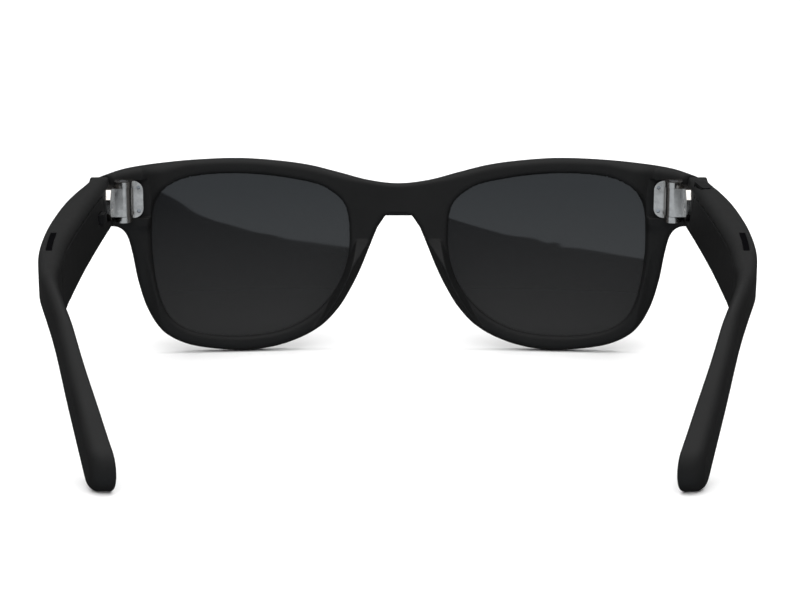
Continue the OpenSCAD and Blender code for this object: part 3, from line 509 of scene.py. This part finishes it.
LENS = tinted_glass("lens_tint", LENS_TOP_TINT, LENS_LOW_TINT, lens_low.z + TINT_IN, lens_high.z - TINT_IN)
WINDOW = tinted_glass("window_tint", WINDOW_TINT)

CAD_MATERIALS = {
    "front_shell": FRAME, "rear_shell": FRAME, "temple_shell": FRAME, "temple_cover": FRAME,
    "nose_pad": PAD, "lens": LENS, "front_leaf": STEEL, "front_leaf_screws": PIN, "temple_leaf": STEEL,
    "hinge_pin": PIN, "leaf_screw": PIN, "camera_bezel": BEZEL, "light_bezel": BEZEL,
    "camera_window": WINDOW, "light_window": WINDOW, "camera_module": CAMERA, "capture_light": DIFFUSER,
    "brow_flex": FLEX, "temple_flex": FLEX, "bridge_microphone": TIN, "microphone": TIN,
    "charge_port": BUTTON, "charge_contacts": GOLD, "battery": FOIL, "speaker": SPEAKER,
    "vent_mesh": MESH, "speaker_mesh": MESH, "slide_switch": TIN, "button_switch": TIN,
    "main_board": BOARD, "processor_shield": TIN, "touch_pad": GOLD, "capture_button": BUTTON,
    "power_slider": SLIDER,
}


LEAF_EDGE = 0.2
SMALL_EDGE = 0.12


def dress_cad_nodes():
    """Gives every carried-over node its material, and softens the edges of the small hard parts."""
    for name, node in frame["nodes"].items():
        material = CAD_MATERIALS[name.removesuffix("_left").removesuffix("_right")]
        node.data.materials.clear()
        node.data.materials.append(material)
        if material == STEEL:
            soften(node, LEAF_EDGE)
        elif material in (BUTTON, SLIDER, PIN, BEZEL):
            soften(node, SMALL_EDGE)


def soften(piece, width):
    """A small rounded bevel on sharp edges."""
    bevel = piece.modifiers.new("soft_edges", "BEVEL")
    bevel.width = width * MM
    bevel.segments = 3
    bevel.limit_method = "ANGLE"
    bevel.angle_limit = math.radians(35)
    bevel.use_clamp_overlap = True
    bevel.harden_normals = True


# ---- The front ----------------------------------------------------------------------------------

# The front's plan: the round outer corners, where the curved face meets them, and the scoop's radius
CORNER_OUT = 0.4
CORNER_X = FRONT_HALF_W + CORNER_OUT - CORNER_R
CORNER_Y = WRAP_R - math.sqrt((WRAP_R + RIM_T / 2 - CORNER_R) ** 2 - CORNER_X**2)
TANGENT_X = CORNER_X * (WRAP_R + RIM_T / 2) / (WRAP_R + RIM_T / 2 - CORNER_R)
SCOOP_R = SCOOP_HALF_W**2 / 2 / (SCOOP_D + SCOOP_HALF_W**2 / 2 / (WRAP_R - RIM_T / 2))

# The raised end piece: its reach from the hinge pin towards the lens and down, and its slope.
# Beside it the rear may stand BLOCK_FREE mm past the plane of its hinge face.
BLOCK_IN = 5.3
BLOCK_LOW = 6.6
BLOCK_SLOPE = math.radians(31)
BLOCK_FREE = 3.0

# The front leaf in its recess
LEAF_IN = 4.5
LEAF_OUT = 2.25
LEAF_HALF_H = 4.6
LEAF_D = 1.25
LEAF_RUN_OUT = 3.0
LEAF_CORNER_R = 2.4

# The camera and light windows, each in a bezel that is set into the front face
WINDOW_R = 2.7
WINDOW_X = lx(1) + 7.2
WINDOW_Z = lz(1) - 7
WINDOW_TILT = math.radians(16)
WINDOW_BACK = 0.2
BEZEL_R = 3.6
BEZEL_T = 1.0
BORE_BACK = 2.4
BORE_HALF_D = 1.6
POCKET_AHEAD = 3

# The charging port in the arch under the bridge
CHARGE_HALF = (3.15, 1.55, 2.55)
CHARGE_DOWN = 0.5

# The nose pads: a ridge beside each lens, with a gentle face to the nose and a steep one to the lens
PAD_TOP_Z = lz(0.585)
PAD_LOW_Z = lz(0.10)
PAD_FOOT_Z = PAD_LOW_Z - 4
PAD_STEP = 0.55
NOSE_FACE_SLOPE = 0.42
LENS_FACE_SLOPE = 2.6
RIDGE_BLEND = 0.35
# Brings the steep field behind the pads nearer to a true distance
PAD_SCALE = 0.75
# How much the outline draws in where the pads are, for each millimetre behind the rims' middle
PAD_DRAFT = 0.22
# How far the pad's crest lies from the middle, at heights up the pad
CREST = open_curve([
    (lz(0.02), lx(0.25)), (lz(0.10), lx(0.157)), (lz(0.20), lx(0.087)), (lz(0.32), lx(0.036)),
    (lz(0.45), lx(0.001)), (lz(0.56), lx(-0.015)), (lz(0.66), lx(-0.023)),
])
CREST = CREST[np.argsort(CREST[:, 0])]

# Edge roundings in front and behind, what the rear one gains and loses on its way (the last as a share),
# and the roundings of the lens openings in front and behind
FACE_ROUND = 1.25
REAR_ROUND = 1.15
RIM_ROUND_GAIN = 0.55
PAD_ROUND_LOSS = 1.05
END_ROUND_LOSS = 0.85
OPENING_FACE_ROUND = 0.55
OPENING_REAR_ROUND = 1.3
# Where across the front these set in, from the first x to the second
PAD_SIDE = (26, 21)
RIM_SIDE = (8, 14)
HINGE_SIDE = (50, 58)
END_SIDE = (68.5, 71)

# The front's grid: its voxels, its depth range and the free margin around it
FRONT_VOXEL = 0.34
FRONT_Y_LOW = -4.5
FRONT_Y_HIGH = 13.5
MARGIN = 1.5

# The tables' range in the front's x and z
FRONT_LOW, FRONT_HIGH = (-3, -3), (79, 51)
OUTLINE = Table(lambda u, v: polygon_distance(u, v, front_outline()), FRONT_LOW, FRONT_HIGH)
APERTURE = Table(lambda u, v: polygon_distance(u, v, lens_outline(GROOVE_D)), FRONT_LOW, FRONT_HIGH)
GROOVE = Table(lambda u, v: polygon_distance(u, v, lens_outline(-SNUG)), FRONT_LOW, FRONT_HIGH)

# The temple's direction in the front's frame
ARM_DIRECTION = FRONT_TO_TEMPLE.to_3x3().inverted() @ Vector((0, 1, 0))
ROWS_TO_TEMPLE = np.array(FRONT_TO_TEMPLE)
LENS_BULGE = (LENS_W / 2) ** 2 / 2 * (1 / LENS_R - 1 / WRAP_R)
LENS_TILT = math.atan(LENS_X / WRAP_R)
LENS_MID_Y = WRAP_R - math.sqrt(WRAP_R**2 - LENS_X**2) - LENS_BULGE
# The centre of the left lens' spherical faces
LENS_BALL = Vector((
    LENS_X - LENS_R * math.sin(LENS_TILT), LENS_MID_Y + LENS_R * math.cos(LENS_TILT), LENS_Z
))


def to_temple(x, y, z):
    """The front's coordinates in the left temple's frame."""
    m = ROWS_TO_TEMPLE
    return tuple(m[k, 0] * x + m[k, 1] * y + m[k, 2] * z + m[k, 3] for k in range(3))


def front_face_y(x):
    """Depth of the front face at x."""
    if abs(x) < TANGENT_X:
        return WRAP_R - math.sqrt((WRAP_R + RIM_T / 2) ** 2 - x * x)
    return CORNER_Y - math.sqrt(CORNER_R**2 - (abs(x) - CORNER_X) ** 2)


def front_face(x, y):
    """Distance in front of the curved front face and the rounded outer corners."""
    disc = np.hypot(x, y - WRAP_R) - (WRAP_R + RIM_T / 2)
    beside = np.abs(x) - CORNER_X
    corner = np.where(y < CORNER_Y, np.hypot(beside, y - CORNER_Y), beside) - CORNER_R
    return np.where(np.abs(x) > TANGENT_X, np.maximum(disc, corner), disc)


def pad_height(x, z):
    """How far a nose pad's surface stands out behind the rims: a ridge beside the lens."""
    crest_x = np.interp(z, CREST[:, 0], CREST[:, 1])
    lean_x = np.interp(z, CREST[:, 0], np.gradient(CREST[:, 1], CREST[:, 0]))
    across = (crest_x - x) / np.sqrt(1 + lean_x**2)
    rise = PAD_H * fade(z + 0.35 * (x - crest_x), PAD_TOP_Z + 1.2, PAD_TOP_Z - 7.5)
    rise = rise * fade(z, PAD_FOOT_Z, PAD_LOW_Z + 7)
    step = PAD_STEP * fade(z + 0.45 * (x - crest_x), PAD_TOP_Z, PAD_TOP_Z - 0.9)
    step = step * fade(z, PAD_FOOT_Z, PAD_LOW_Z + 2)
    top = rise + step
    nose_side = top - NOSE_FACE_SLOPE * across
    lens_side = top + LENS_FACE_SLOPE * across
    return np.maximum(either(nose_side, lens_side, RIDGE_BLEND), 0)


def end_block(x, y, z):
    """The raised end piece, and the plane of its hinge face, which is square to the temple."""
    hinge_face = (y - HINGE_LOCAL.y) * ARM_DIRECTION.y + (z - HINGE_LOCAL.z) * ARM_DIRECTION.z + HINGE_BACK
    slope = -(x - HINGE_X + BLOCK_IN) * math.cos(BLOCK_SLOPE) + (y - END_TOP) * math.sin(BLOCK_SLOPE)
    low = HINGE_Z - BLOCK_LOW - z
    return both(both(hinge_face, slope, 0.6), low, 1.5), hinge_face


def rear_face(x, y, z):
    """Distance behind the rear: the curved rims, the scooped bridge, the nose pads and the end pieces."""
    rims = (WRAP_R - RIM_T / 2) - np.hypot(x, y - WRAP_R)
    scoop = SCOOP_R - np.hypot(x, y - (RIM_T / 2 - SCOOP_D + SCOOP_R))
    back = -either(-rims, -scoop, 0.5)
    back = either(back, PAD_SCALE * (back - pad_height(x, z)), 0.25)
    block, hinge_face = end_block(x, y, z)
    back = either(back, block, 2.2)
    beside = fade(x, HINGE_X - BLOCK_IN + 1, HINGE_X - BLOCK_IN - 5)
    return np.maximum(back, hinge_face - BLOCK_FREE * beside)


def front_field(x, y, z):
    """The whole front in one moulding."""
    x = np.abs(x)
    face, back, opening = front_face(x, y), rear_face(x, y, z), -APERTURE(x, z)
    in_pad = fade(z, PAD_FOOT_Z, PAD_LOW_Z + 3) * fade(z, PAD_TOP_Z + 2, PAD_TOP_Z - 3)
    in_pad = in_pad * fade(x, *PAD_SIDE)
    outer = OUTLINE(x, z) + PAD_DRAFT * in_pad * np.maximum(y - x * x / (2 * WRAP_R) + 0.5, 0)
    # The rear edge is rounder along the rims and above the hinges, and crisp on the pads and end pieces
    above_hinge = fade(z, HINGE_Z + 1, HINGE_Z + 4) * fade(x, *HINGE_SIDE)
    rear_round = REAR_ROUND + RIM_ROUND_GAIN * fade(x, *RIM_SIDE) - PAD_ROUND_LOSS * in_pad + above_hinge
    rear_round = rear_round * (1 - END_ROUND_LOSS * fade(x, *END_SIDE))
    body = np.maximum(both(outer, face, FACE_ROUND), both(outer, back, rear_round))
    body = np.maximum(body, both(opening, face, OPENING_FACE_ROUND))
    body = np.maximum(body, both(opening, back, OPENING_REAR_ROUND))
    return cut_front(body, x, y, z)


def leaf_recess(x, y, z):
    """The front leaf's recess in the hinge's frame: it runs out past the leaf towards the lens."""
    half = (LEAF_IN + LEAF_OUT) / 2 + LEAF_ROOM
    x = x + (LEAF_IN - LEAF_OUT) / 2
    along = np.abs(x + LEAF_RUN_OUT / 2) - half - LEAF_RUN_OUT / 2
    up = np.abs(z) - LEAF_HALF_H - LEAF_ROOM
    plate = np.maximum(both(along, up, LEAF_CORNER_R), x - half)
    return np.maximum(plate, np.abs(y + HINGE_BACK) - LEAF_D)


def window_pocket(x, y, z):
    """The round pocket of a bezel in the front face, and the narrower bore behind it."""
    beside, behind = x - WINDOW_X, y - front_face_y(WINDOW_X) - WINDOW_BACK
    across = beside * math.cos(WINDOW_TILT) + behind * math.sin(WINDOW_TILT)
    ahead = beside * math.sin(WINDOW_TILT) - behind * math.cos(WINDOW_TILT)
    from_axis = np.hypot(across, z - WINDOW_Z)
    bezel = np.maximum(from_axis - BEZEL_R - SNUG, -(ahead + BEZEL_T + SNUG))
    bore = np.maximum(from_axis - WINDOW_R, np.abs(ahead + BORE_BACK) - BORE_HALF_D)
    return np.maximum(np.minimum(bezel, bore), ahead - POCKET_AHEAD)


def cut_front(body, x, y, z):
    """The body without the lens groove, the leaf's recess, the window pocket and the charging port."""
    ball = np.sqrt(
        (x - LENS_BALL.x) ** 2 + (y - LENS_BALL.y) ** 2 + (z - LENS_BALL.z) ** 2
    ) - LENS_R
    groove = np.maximum(GROOVE(x, z), np.abs(ball) - LENS_T / 2 - SNUG)
    leaf = leaf_recess(*to_temple(x, y, z))
    port = box_field(x, y, z - ARCH_Z + CHARGE_DOWN, CHARGE_HALF, 0.2)
    for cut in (groove, leaf, window_pocket(x, y, z), port):
        body = np.maximum(body, -cut)
    return body


def make_front():
    """The front with both nose pads, as one moulding."""
    low = (-FRONT_HALF_W - MARGIN, FRONT_Y_LOW, -MARGIN)
    high = (FRONT_HALF_W + MARGIN, FRONT_Y_HIGH, BROW_TOP + MARGIN)
    front = skin("front_moulding", front_field, low, high, FRONT_VOXEL, FRONT_PLACE)
    front.data.materials.append(FRAME)
    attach(front, "front")
    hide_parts("front_shell", "rear_shell", "nose_pad_left", "nose_pad_right")


# The rings of a lens' points, as shares of its outline: closer together towards the edge
LENS_RINGS = (0.15, 0.3, 0.45, 0.6, 0.72, 0.82, 0.9, 0.96, 0.99, 1.0)


def make_lens(side):
    """A lens with true spherical faces: rings of points from its middle to its edge, on both faces."""
    edge = lens_outline(0.0) - [LENS_X, LENS_Z]
    n = len(edge)
    points, faces = [], []
    for face in (-1, 1):
        radius = LENS_R - face * LENS_T / 2
        first = len(points)
        for u, v in np.vstack([[(0, 0)]] + [edge * ring for ring in LENS_RINGS]):
            x, z = LENS_X + u, LENS_Z + v
            deep = radius**2 - (x - LENS_BALL.x) ** 2 - (z - LENS_BALL.z) ** 2
            points.append((x, LENS_BALL.y - math.sqrt(deep), z))
        faces += [(first, first + 1 + i, first + 1 + (i + 1) % n) for i in range(n)]
        for ring in range(len(LENS_RINGS) - 1):
            a = first + 1 + ring * n
            faces += [(a + i, a + (i + 1) % n, a + n + (i + 1) % n, a + n + i) for i in range(n)]
    front_edge, back_edge = len(points) // 2 - n, len(points) - n
    for i in range(n):
        j = (i + 1) % n
        faces.append((front_edge + i, front_edge + j, back_edge + j, back_edge + i))
    points = placed(np.array(points), FRONT_PLACE, side == "right")
    lens = mesh_object("lens_" + side + "_glass", points, faces, crease=40)
    lens.data.materials.append(LENS)
    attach(lens, "front")
    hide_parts("lens_" + side)


# ---- Temples ------------------------------------------------------------------------------------

ARM_FRONT = -HINGE_BACK + 0.2
BEND_L = BEND_R * math.radians(TIP_DROP)


def tip_mid(s):
    """The middle of the bar in the side view, at a distance s past the bend's start."""
    turn = min(max(s, 0) / BEND_R, math.radians(TIP_DROP))
    rest = max(s - BEND_L, 0)
    y = ARM_L + min(s, 0) + BEND_R * math.sin(turn) + rest * math.cos(turn)
    z = -BEND_R * (1 - math.cos(turn)) - rest * math.sin(turn)
    return np.array([y, z]), turn


TIP_END = tip_mid(TIP_L - TIP_R)[0]
STEP_Y = ARM_L - STEP_BACK
LOW_AT_STEP = -ARM_DOWN - ARM_SWELL


def arm_y(t):
    """Depth at a share of the arm's length."""
    return ARM_FRONT + t * (ARM_L - ARM_FRONT)


def tip_y(t):
    """Depth at a share of the way from the bend's start to the tip's end."""
    return ARM_L + t * (TIP_END[0] + TIP_R - ARM_L)


# The outer and inner lines of the left temple from above, as (y, x) from its front end to past the tip
OUTER = open_curve([
    (arm_y(0), 8.1), (arm_y(0.075), 8.9), (arm_y(0.17), 10.2), (arm_y(0.30), 11.4),
    (arm_y(0.47), 12.0), (arm_y(0.62), 11.9), (arm_y(0.77), 11.1), (arm_y(0.90), 9.6),
    (tip_y(0), 7.9), (tip_y(0.15), 5.8), (tip_y(0.33), 2.7), (tip_y(0.55), -0.7),
    (tip_y(0.75), -3.9), (tip_y(0.92), -6.7), (tip_y(1.06), -9.3),
])
INNER = open_curve([
    (arm_y(0), 2.45), (arm_y(0.075), 2.6), (arm_y(0.17), 3.1), (arm_y(0.30), 3.7),
    (arm_y(0.47), 4.35), (arm_y(0.62), 4.7), (arm_y(0.77), 4.9), (arm_y(0.90), 4.8),
    (tip_y(0), 4.3), (tip_y(0.15), 2.7), (tip_y(0.33), -0.55), (tip_y(0.55), -4.45),
    (tip_y(0.75), -8.3), (tip_y(0.92), -11.55), (tip_y(1.06), -14.4),
])
# How far a line runs on past both its ends, and the far edge of its outline
RUN_ON = 12
FAR_AWAY = 70
SIDE_STEPS = 40


def extended(line):
    """The line of (y, x) with a straight run before and after it."""
    first, last = line[0] - line[1], line[-1] - line[-2]
    start = line[0] + first / abs(first[0]) * RUN_ON
    end = line[-1] + last / last[0] * RUN_ON
    return np.vstack([start, line, end])


def side_outline():
    """The temple from the side, in y and z."""
    length = TIP_L - TIP_R
    top, low = [], []
    for k in range(SIDE_STEPS + 1):
        middle, turn = tip_mid(length * k / SIDE_STEPS)
        up = np.array([math.sin(turn), math.cos(turn)])
        top.append(middle + (ARM_UP + (TIP_R - ARM_UP) * k / SIDE_STEPS) * up)
        low.append(middle - (TIP_LOW_DOWN + (TIP_R - TIP_LOW_DOWN) * k / SIDE_STEPS) * up)
    angles = np.radians(90 - TIP_DROP - np.arange(6, 180, 6))
    end = [TIP_END + TIP_R * np.array([math.cos(a), math.sin(a)]) for a in angles]
    step = open_curve([
        (STEP_Y + 9, -TIP_LOW_DOWN), (STEP_Y + 5.5, -TIP_LOW_DOWN - 0.05),
        (STEP_Y + 3.9, -TIP_LOW_DOWN - 0.45), (STEP_Y + 2.6, LOW_AT_STEP + 1.7),
        (STEP_Y + 1.4, LOW_AT_STEP + 0.5), (STEP_Y - 0.4, LOW_AT_STEP + 0.03),
        (STEP_Y - 3, LOW_AT_STEP + 0.08),
    ], steps=5)
    return np.vstack([
        [(ARM_FRONT, ARM_UP)], top, end, low[::-1], step, [(ARM_FRONT, -ARM_DOWN)]
    ])


def beyond(line, side):
    """A closed outline of everything on the side of a (y, x) line that a temple's plan keeps."""
    line = extended(line)[:, ::-1]
    far_x = side * FAR_AWAY
    return np.vstack([line, [(far_x, line[-1, 1]), (far_x, line[0, 1])]])


# The tables' range in a temple's x and y
PLAN_LOW, PLAN_HIGH = (-18, -8), (20, 156)
OUTER_SIDE = Table(lambda u, v: polygon_distance(u, v, beyond(OUTER, -1)), PLAN_LOW, PLAN_HIGH)
INNER_SIDE = Table(lambda u, v: polygon_distance(u, v, beyond(INNER, 1)), PLAN_LOW, PLAN_HIGH)
SIDE = Table(lambda u, v: polygon_distance(u, v, side_outline()), (-8, -32), (156, 12))

# How much thinner the bar is at its top, and how far its outer face draws in low down before the step
DRAFT = 1.35
TUCK = 1.1
# Roundings of its long edges: what they are at the hinge, and what they gain and lose behind it
BAR_ROUND = 0.3
OUTER_GAIN = 1.3
OUTER_TIP_GAIN = 0.5
INNER_GAIN = 0.4
INNER_TOP_GAIN = 1.5
INNER_TIP_LOSS = 0.45

# The vent slot in the top edge, and the speaker's outlet in the lower one
VENT_L = 17.0
VENT_W = 1.3
VENT_D = 0.9
VENT_Y = STEP_Y - 6.5 - VENT_L
VENT_X_IN = 2.3
OUTLET_L = 8.0
OUTLET_HALF_W = 1.1
OUTLET_D = 0.6
OUTLET_Y = STEP_Y - 12
OUTLET_X_IN = 3.1

# The inner cover: its ends, its thickness and how far it stays from the bar's edges
COVER_Y0 = 10.0
COVER_Y1 = STEP_Y - 0.5
COVER_T = 1.1
REBATE = 0.7
COVER_TOP_IN = 1.6
COVER_CORNER_R = 1.2
SEAM = 0.04

# The capture button's slot in the top of the right temple
BUTTON_Y = 7.4
BUTTON_X_IN = 3.1
BUTTON_HALF_L = 4.2
BUTTON_HALF_W = 1.1
BUTTON_D = 1.6

# The power slider's slot in the left cover
SLIDER_Y = 15.5
SLIDER_Z = -0.6
SLIDER_L = 3.2
SLIDER_H = 2.2
SLIDER_TRAVEL = 1.8
SLOT_HALF_D = 3

# The steel leaf stands a little proud of the inner side; its recess leaves a clear way for the barrel
LEAF_PROUD = 0.1
LEAF_SLOT_HALF = (0.85, 5.45, 3.85)
LEAF_SLOT_X = 0.4
LEAF_SLOT_Y = 3.2

# The temples' grids: their voxels and their width range
SHELL_VOXEL = 0.33
COVER_VOXEL = 0.25
BAR_X_LOW = -14.5
BAR_X_HIGH = 13
COVER_X_LOW = 2
COVER_X_HIGH = 8.5


def outer_x(y):
    """The bar's outer side at y."""
    return np.interp(y, OUTER[:, 0], OUTER[:, 1])


def inner_x(y):
    """The bar's inner side at y."""
    return np.interp(y, INNER[:, 0], INNER[:, 1])


LEAF_X = inner_x(ARM_FRONT) - LEAF_PROUD


def low_z(y):
    """The arm's lower edge at y."""
    return np.interp(y, [0, STEP_Y], [-ARM_DOWN, LOW_AT_STEP])


def draft(y, z):
    """How far the inner face leans outwards at a height: the arm is thinner at its top."""
    height = np.clip((z - low_z(y)) / (ARM_UP - low_z(y)), 0, 1)
    return DRAFT * fade(y, STEP_Y + 7, STEP_Y - 22) * height


def bar_field(x, y, z):
    """The temple's outside shape: soft long edges and a square front end."""
    tuck = TUCK * fade(y, STEP_Y - 40, STEP_Y - 8) * fade(z, ARM_UP - 5, LOW_AT_STEP + 1)
    tuck = tuck * fade(y, STEP_Y + 6, STEP_Y)
    outer, inner, side = OUTER_SIDE(x + tuck, y), INNER_SIDE(x - draft(y, z), y), SIDE(y, z)
    from_end = fade(y, ARM_FRONT + 0.2, ARM_FRONT + 3)
    tip = fade(y, STEP_Y - 10, ARM_L + 12)
    upper = fade(z, -1, 2)
    outer_round = BAR_ROUND + from_end * (OUTER_GAIN + OUTER_TIP_GAIN * tip)
    inner_gain = INNER_GAIN + INNER_TOP_GAIN * upper * (1 - INNER_TIP_LOSS * tip)
    inner_round = BAR_ROUND + from_end * inner_gain
    return np.maximum(both(outer, side, outer_round), both(inner, side, inner_round))


def cover_region(x, y, z, room):
    """Where the inner cover sits: a thin plate along the inner face."""
    edge = np.maximum(low_z(y) + REBATE - z, z - ARM_UP + REBATE + COVER_TOP_IN)
    ends = np.maximum(COVER_Y0 - y, y - COVER_Y1)
    plate = both(edge, ends, COVER_CORNER_R)
    return np.maximum(plate, x - inner_x(y) - draft(y, z) - COVER_T) - room


def pill_field(u, v, half_l, half_w):
    """A slot with round ends, long in u."""
    return np.hypot(np.maximum(np.abs(u) - half_l + half_w, 0), v) - half_w


def button_slot(x, y, z):
    """The slot for the capture button, along the bar's outer side."""
    lean_x = (outer_x(BUTTON_Y + 2) - outer_x(BUTTON_Y - 2)) / 4
    beside = x - outer_x(BUTTON_Y) + BUTTON_X_IN
    along, across = y - BUTTON_Y + lean_x * beside, beside - lean_x * (y - BUTTON_Y)
    pill = pill_field(along, across, BUTTON_HALF_L + SLIDING, BUTTON_HALF_W + SLIDING)
    return both(pill, np.abs(z - ARM_UP) - BUTTON_D, 0.1)


def shell_field(x, y, z, button):
    """A temple's shell: the bar without the cover, the vent, the outlet, the leaf and the button."""
    edge_x = outer_x(y)
    vent_half = (VENT_W / 2, VENT_L / 2, VENT_D)
    outlet_half = (OUTLET_HALF_W, OUTLET_L / 2, OUTLET_D)
    vent_y, outlet_y = y - VENT_Y - VENT_L / 2, y - OUTLET_Y - OUTLET_L / 2
    cuts = [
        cover_region(x, y, z, SEAM),
        box_field(edge_x - VENT_X_IN - x, vent_y, z - ARM_UP, vent_half, 0.1),
        box_field(edge_x - OUTLET_X_IN - x, outlet_y, z - low_z(y), outlet_half, 0.15),
        box_field(x - LEAF_X - LEAF_SLOT_X, y - LEAF_SLOT_Y, z, LEAF_SLOT_HALF, 0.2),
    ]
    if button:
        cuts.append(button_slot(x, y, z))
    body = bar_field(x, y, z)
    for cut in cuts:
        body = np.maximum(body, -cut)
    return body


def cover_field(x, y, z, slider):
    """A temple's inner cover, with a slot where the power slider runs."""
    plate = both(bar_field(x, y, z), cover_region(x, y, z, 0), 0.06)
    if slider:
        middle = SLIDER_Y + SLIDER_TRAVEL / 2
        half = (SLOT_HALF_D, (SLIDER_L + SLIDER_TRAVEL) / 2 + SLIDING, SLIDER_H / 2 + SLIDING)
        slot = box_field(x - inner_x(SLIDER_Y), y - middle, z - SLIDER_Z, half, 0.1)
        plate = np.maximum(plate, -slot)
    return plate


def make_temple(side):
    """A temple's shell and its inner cover: the button is on the right one and the slider on the left."""
    right = side == "right"
    shell = skin(
        "temple_" + side + "_moulding", lambda x, y, z: shell_field(x, y, z, right),
        (BAR_X_LOW, ARM_FRONT - MARGIN, TIP_END[1] - TIP_R - MARGIN),
        (BAR_X_HIGH, TIP_END[0] + TIP_R + MARGIN, ARM_UP + MARGIN),
        SHELL_VOXEL, TEMPLE_PLACE, mirrored=right,
    )
    cover = skin(
        "temple_" + side + "_inner_cover", lambda x, y, z: cover_field(x, y, z, not right),
        (COVER_X_LOW, COVER_Y0 - 1, LOW_AT_STEP - 1), (COVER_X_HIGH, COVER_Y1 + 1, ARM_UP + 1),
        COVER_VOXEL, TEMPLE_PLACE, mirrored=right,
    )
    for piece, node in ((shell, "temple_shell_"), (cover, "temple_cover_")):
        piece.data.materials.append(FRAME)
        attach(piece, "temple_" + side)
        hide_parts(node + side)


# ---- Studio -------------------------------------------------------------------------------------

# The floor and the card, in metres
FLOOR_HALF = 5.0
CARD_EDGE = [
    (-0.6, -0.33), (-0.3, -0.13), (-0.133, -0.042), (-0.085, -0.011), (-0.03, 0.008),
    (0.021, 0.019), (0.08, 0.027), (0.143, 0.034), (0.3, 0.045), (0.6, 0.06),
]
CARD_Y = 0.3
CARD_LOW = -0.6
CARD_GLOW = 0.9
CARD_LOW_COLOUR = (0.7, 0.8, 0.93)
CARD_TOP_COLOUR = (0.88, 0.95, 1)
WORLD_GLOW = 0.12
# A light's name, place, target and size in metres, its power in watts, and whether gloss shows it
LIGHTS = (
    ("overhead", (0, 0.9, 2.4), (0, 0.9, 0), (5, 5), 190, True),
    ("fill", (0, 3.2, 1.5), (0, 0, 0), (3, 1.6), 75, False),
    ("far_floor", (0, -4.6, 2.4), (0, -4.6, 0), (6, 4), 190, False),
)
# The camera, in millimetres and degrees; the shift is a share of the sensor's width
SENSOR_W = 36
VIEW_DISTANCE = 650.0
VIEW_SIDE = -1.6
VIEW_SHIFT = -0.0064
VIEW_HEIGHT = 121.5
VIEW_PITCH = 9.54
FOCAL = 119.93


def make_floor():
    """A plain pale tabletop."""
    corners = [(x * FLOOR_HALF, y * FLOOR_HALF, 0) for x, y in ((-1, -1), (1, -1), (1, 1), (-1, 1))]
    floor = mesh_object("studio_floor", corners, [(0, 1, 2, 3)])
    paint = Paint("floor_paper", (0.8, 0.8, 0.8), 0.8, Specular_IOR_Level=0.0)
    floor.data.materials.append(paint.material)
    floor.visible_glossy = False


def make_card():
    """A white card before the camera that only glossy surfaces see; its upper edge is slanted."""
    edge = open_curve(CARD_EDGE)
    points = [(x, CARD_Y, z) for x, z in edge] + [(x, CARD_Y, CARD_LOW) for x, z in edge]
    n = len(edge)
    card = mesh_object("studio_card", points, [(i, i + 1, n + i + 1, n + i) for i in range(n - 1)])
    paint = Paint("card_glow", (0, 0, 0), 1.0, Specular_IOR_Level=0.0, Emission_Strength=CARD_GLOW)
    place = paint.node("ShaderNodeSeparateXYZ")
    paint.link(paint.place, place.inputs["Vector"])
    height = paint.ramp(place.outputs["Z"], 0, 1, CARD_LOW, CARD_EDGE[-1][1])
    paint.feed("Emission Color", paint.mix(height, CARD_LOW_COLOUR, CARD_TOP_COLOUR))
    card.data.materials.append(paint.material)
    card.visible_camera = card.visible_diffuse = card.visible_shadow = card.visible_transmission = False


def area_light(name, place, target, size, power, in_gloss):
    """A soft rectangular light that points at a target."""
    data = bpy.data.lights.new(name, "AREA")
    data.shape = "RECTANGLE"
    data.size, data.size_y = size
    data.energy = power
    light = bpy.data.objects.new(name, data)
    light.location = place
    light.rotation_euler = (Vector(target) - Vector(place)).to_track_quat("-Z", "Y").to_euler()
    light.visible_glossy = in_gloss
    bpy.context.scene.collection.objects.link(light)


def make_lights():
    """A dim white world and the studio's lights."""
    world = bpy.data.worlds.new("studio")
    bpy.context.scene.world = world
    world.use_nodes = True
    background = world.node_tree.nodes["Background"]
    background.inputs["Color"].default_value = (1, 1, 1, 1)
    background.inputs["Strength"].default_value = WORLD_GLOW
    for light in LIGHTS:
        area_light(*light)


def make_camera():
    """The camera behind the glasses, looking slightly down at the rear of the front."""
    data = bpy.data.cameras.new("camera")
    data.sensor_width = SENSOR_W
    data.lens = FOCAL
    data.shift_x = VIEW_SHIFT
    data.clip_start, data.clip_end = 0.01, 50
    camera = bpy.data.objects.new("camera", data)
    front_y = FRONT_PLACE.translation.y
    camera.location = Vector((VIEW_SIDE, front_y + VIEW_DISTANCE, VIEW_HEIGHT)) * MM
    camera.rotation_euler = (math.radians(90 - VIEW_PITCH), 0, math.pi)
    bpy.context.scene.collection.objects.link(camera)
    bpy.context.scene.camera = camera


make_camera()
make_floor()
make_card()
make_lights()
dress_cad_nodes()
make_front()
for which in ("left", "right"):
    make_lens(which)
    make_temple(which)
bpy.context.scene.view_settings.view_transform = "Standard"
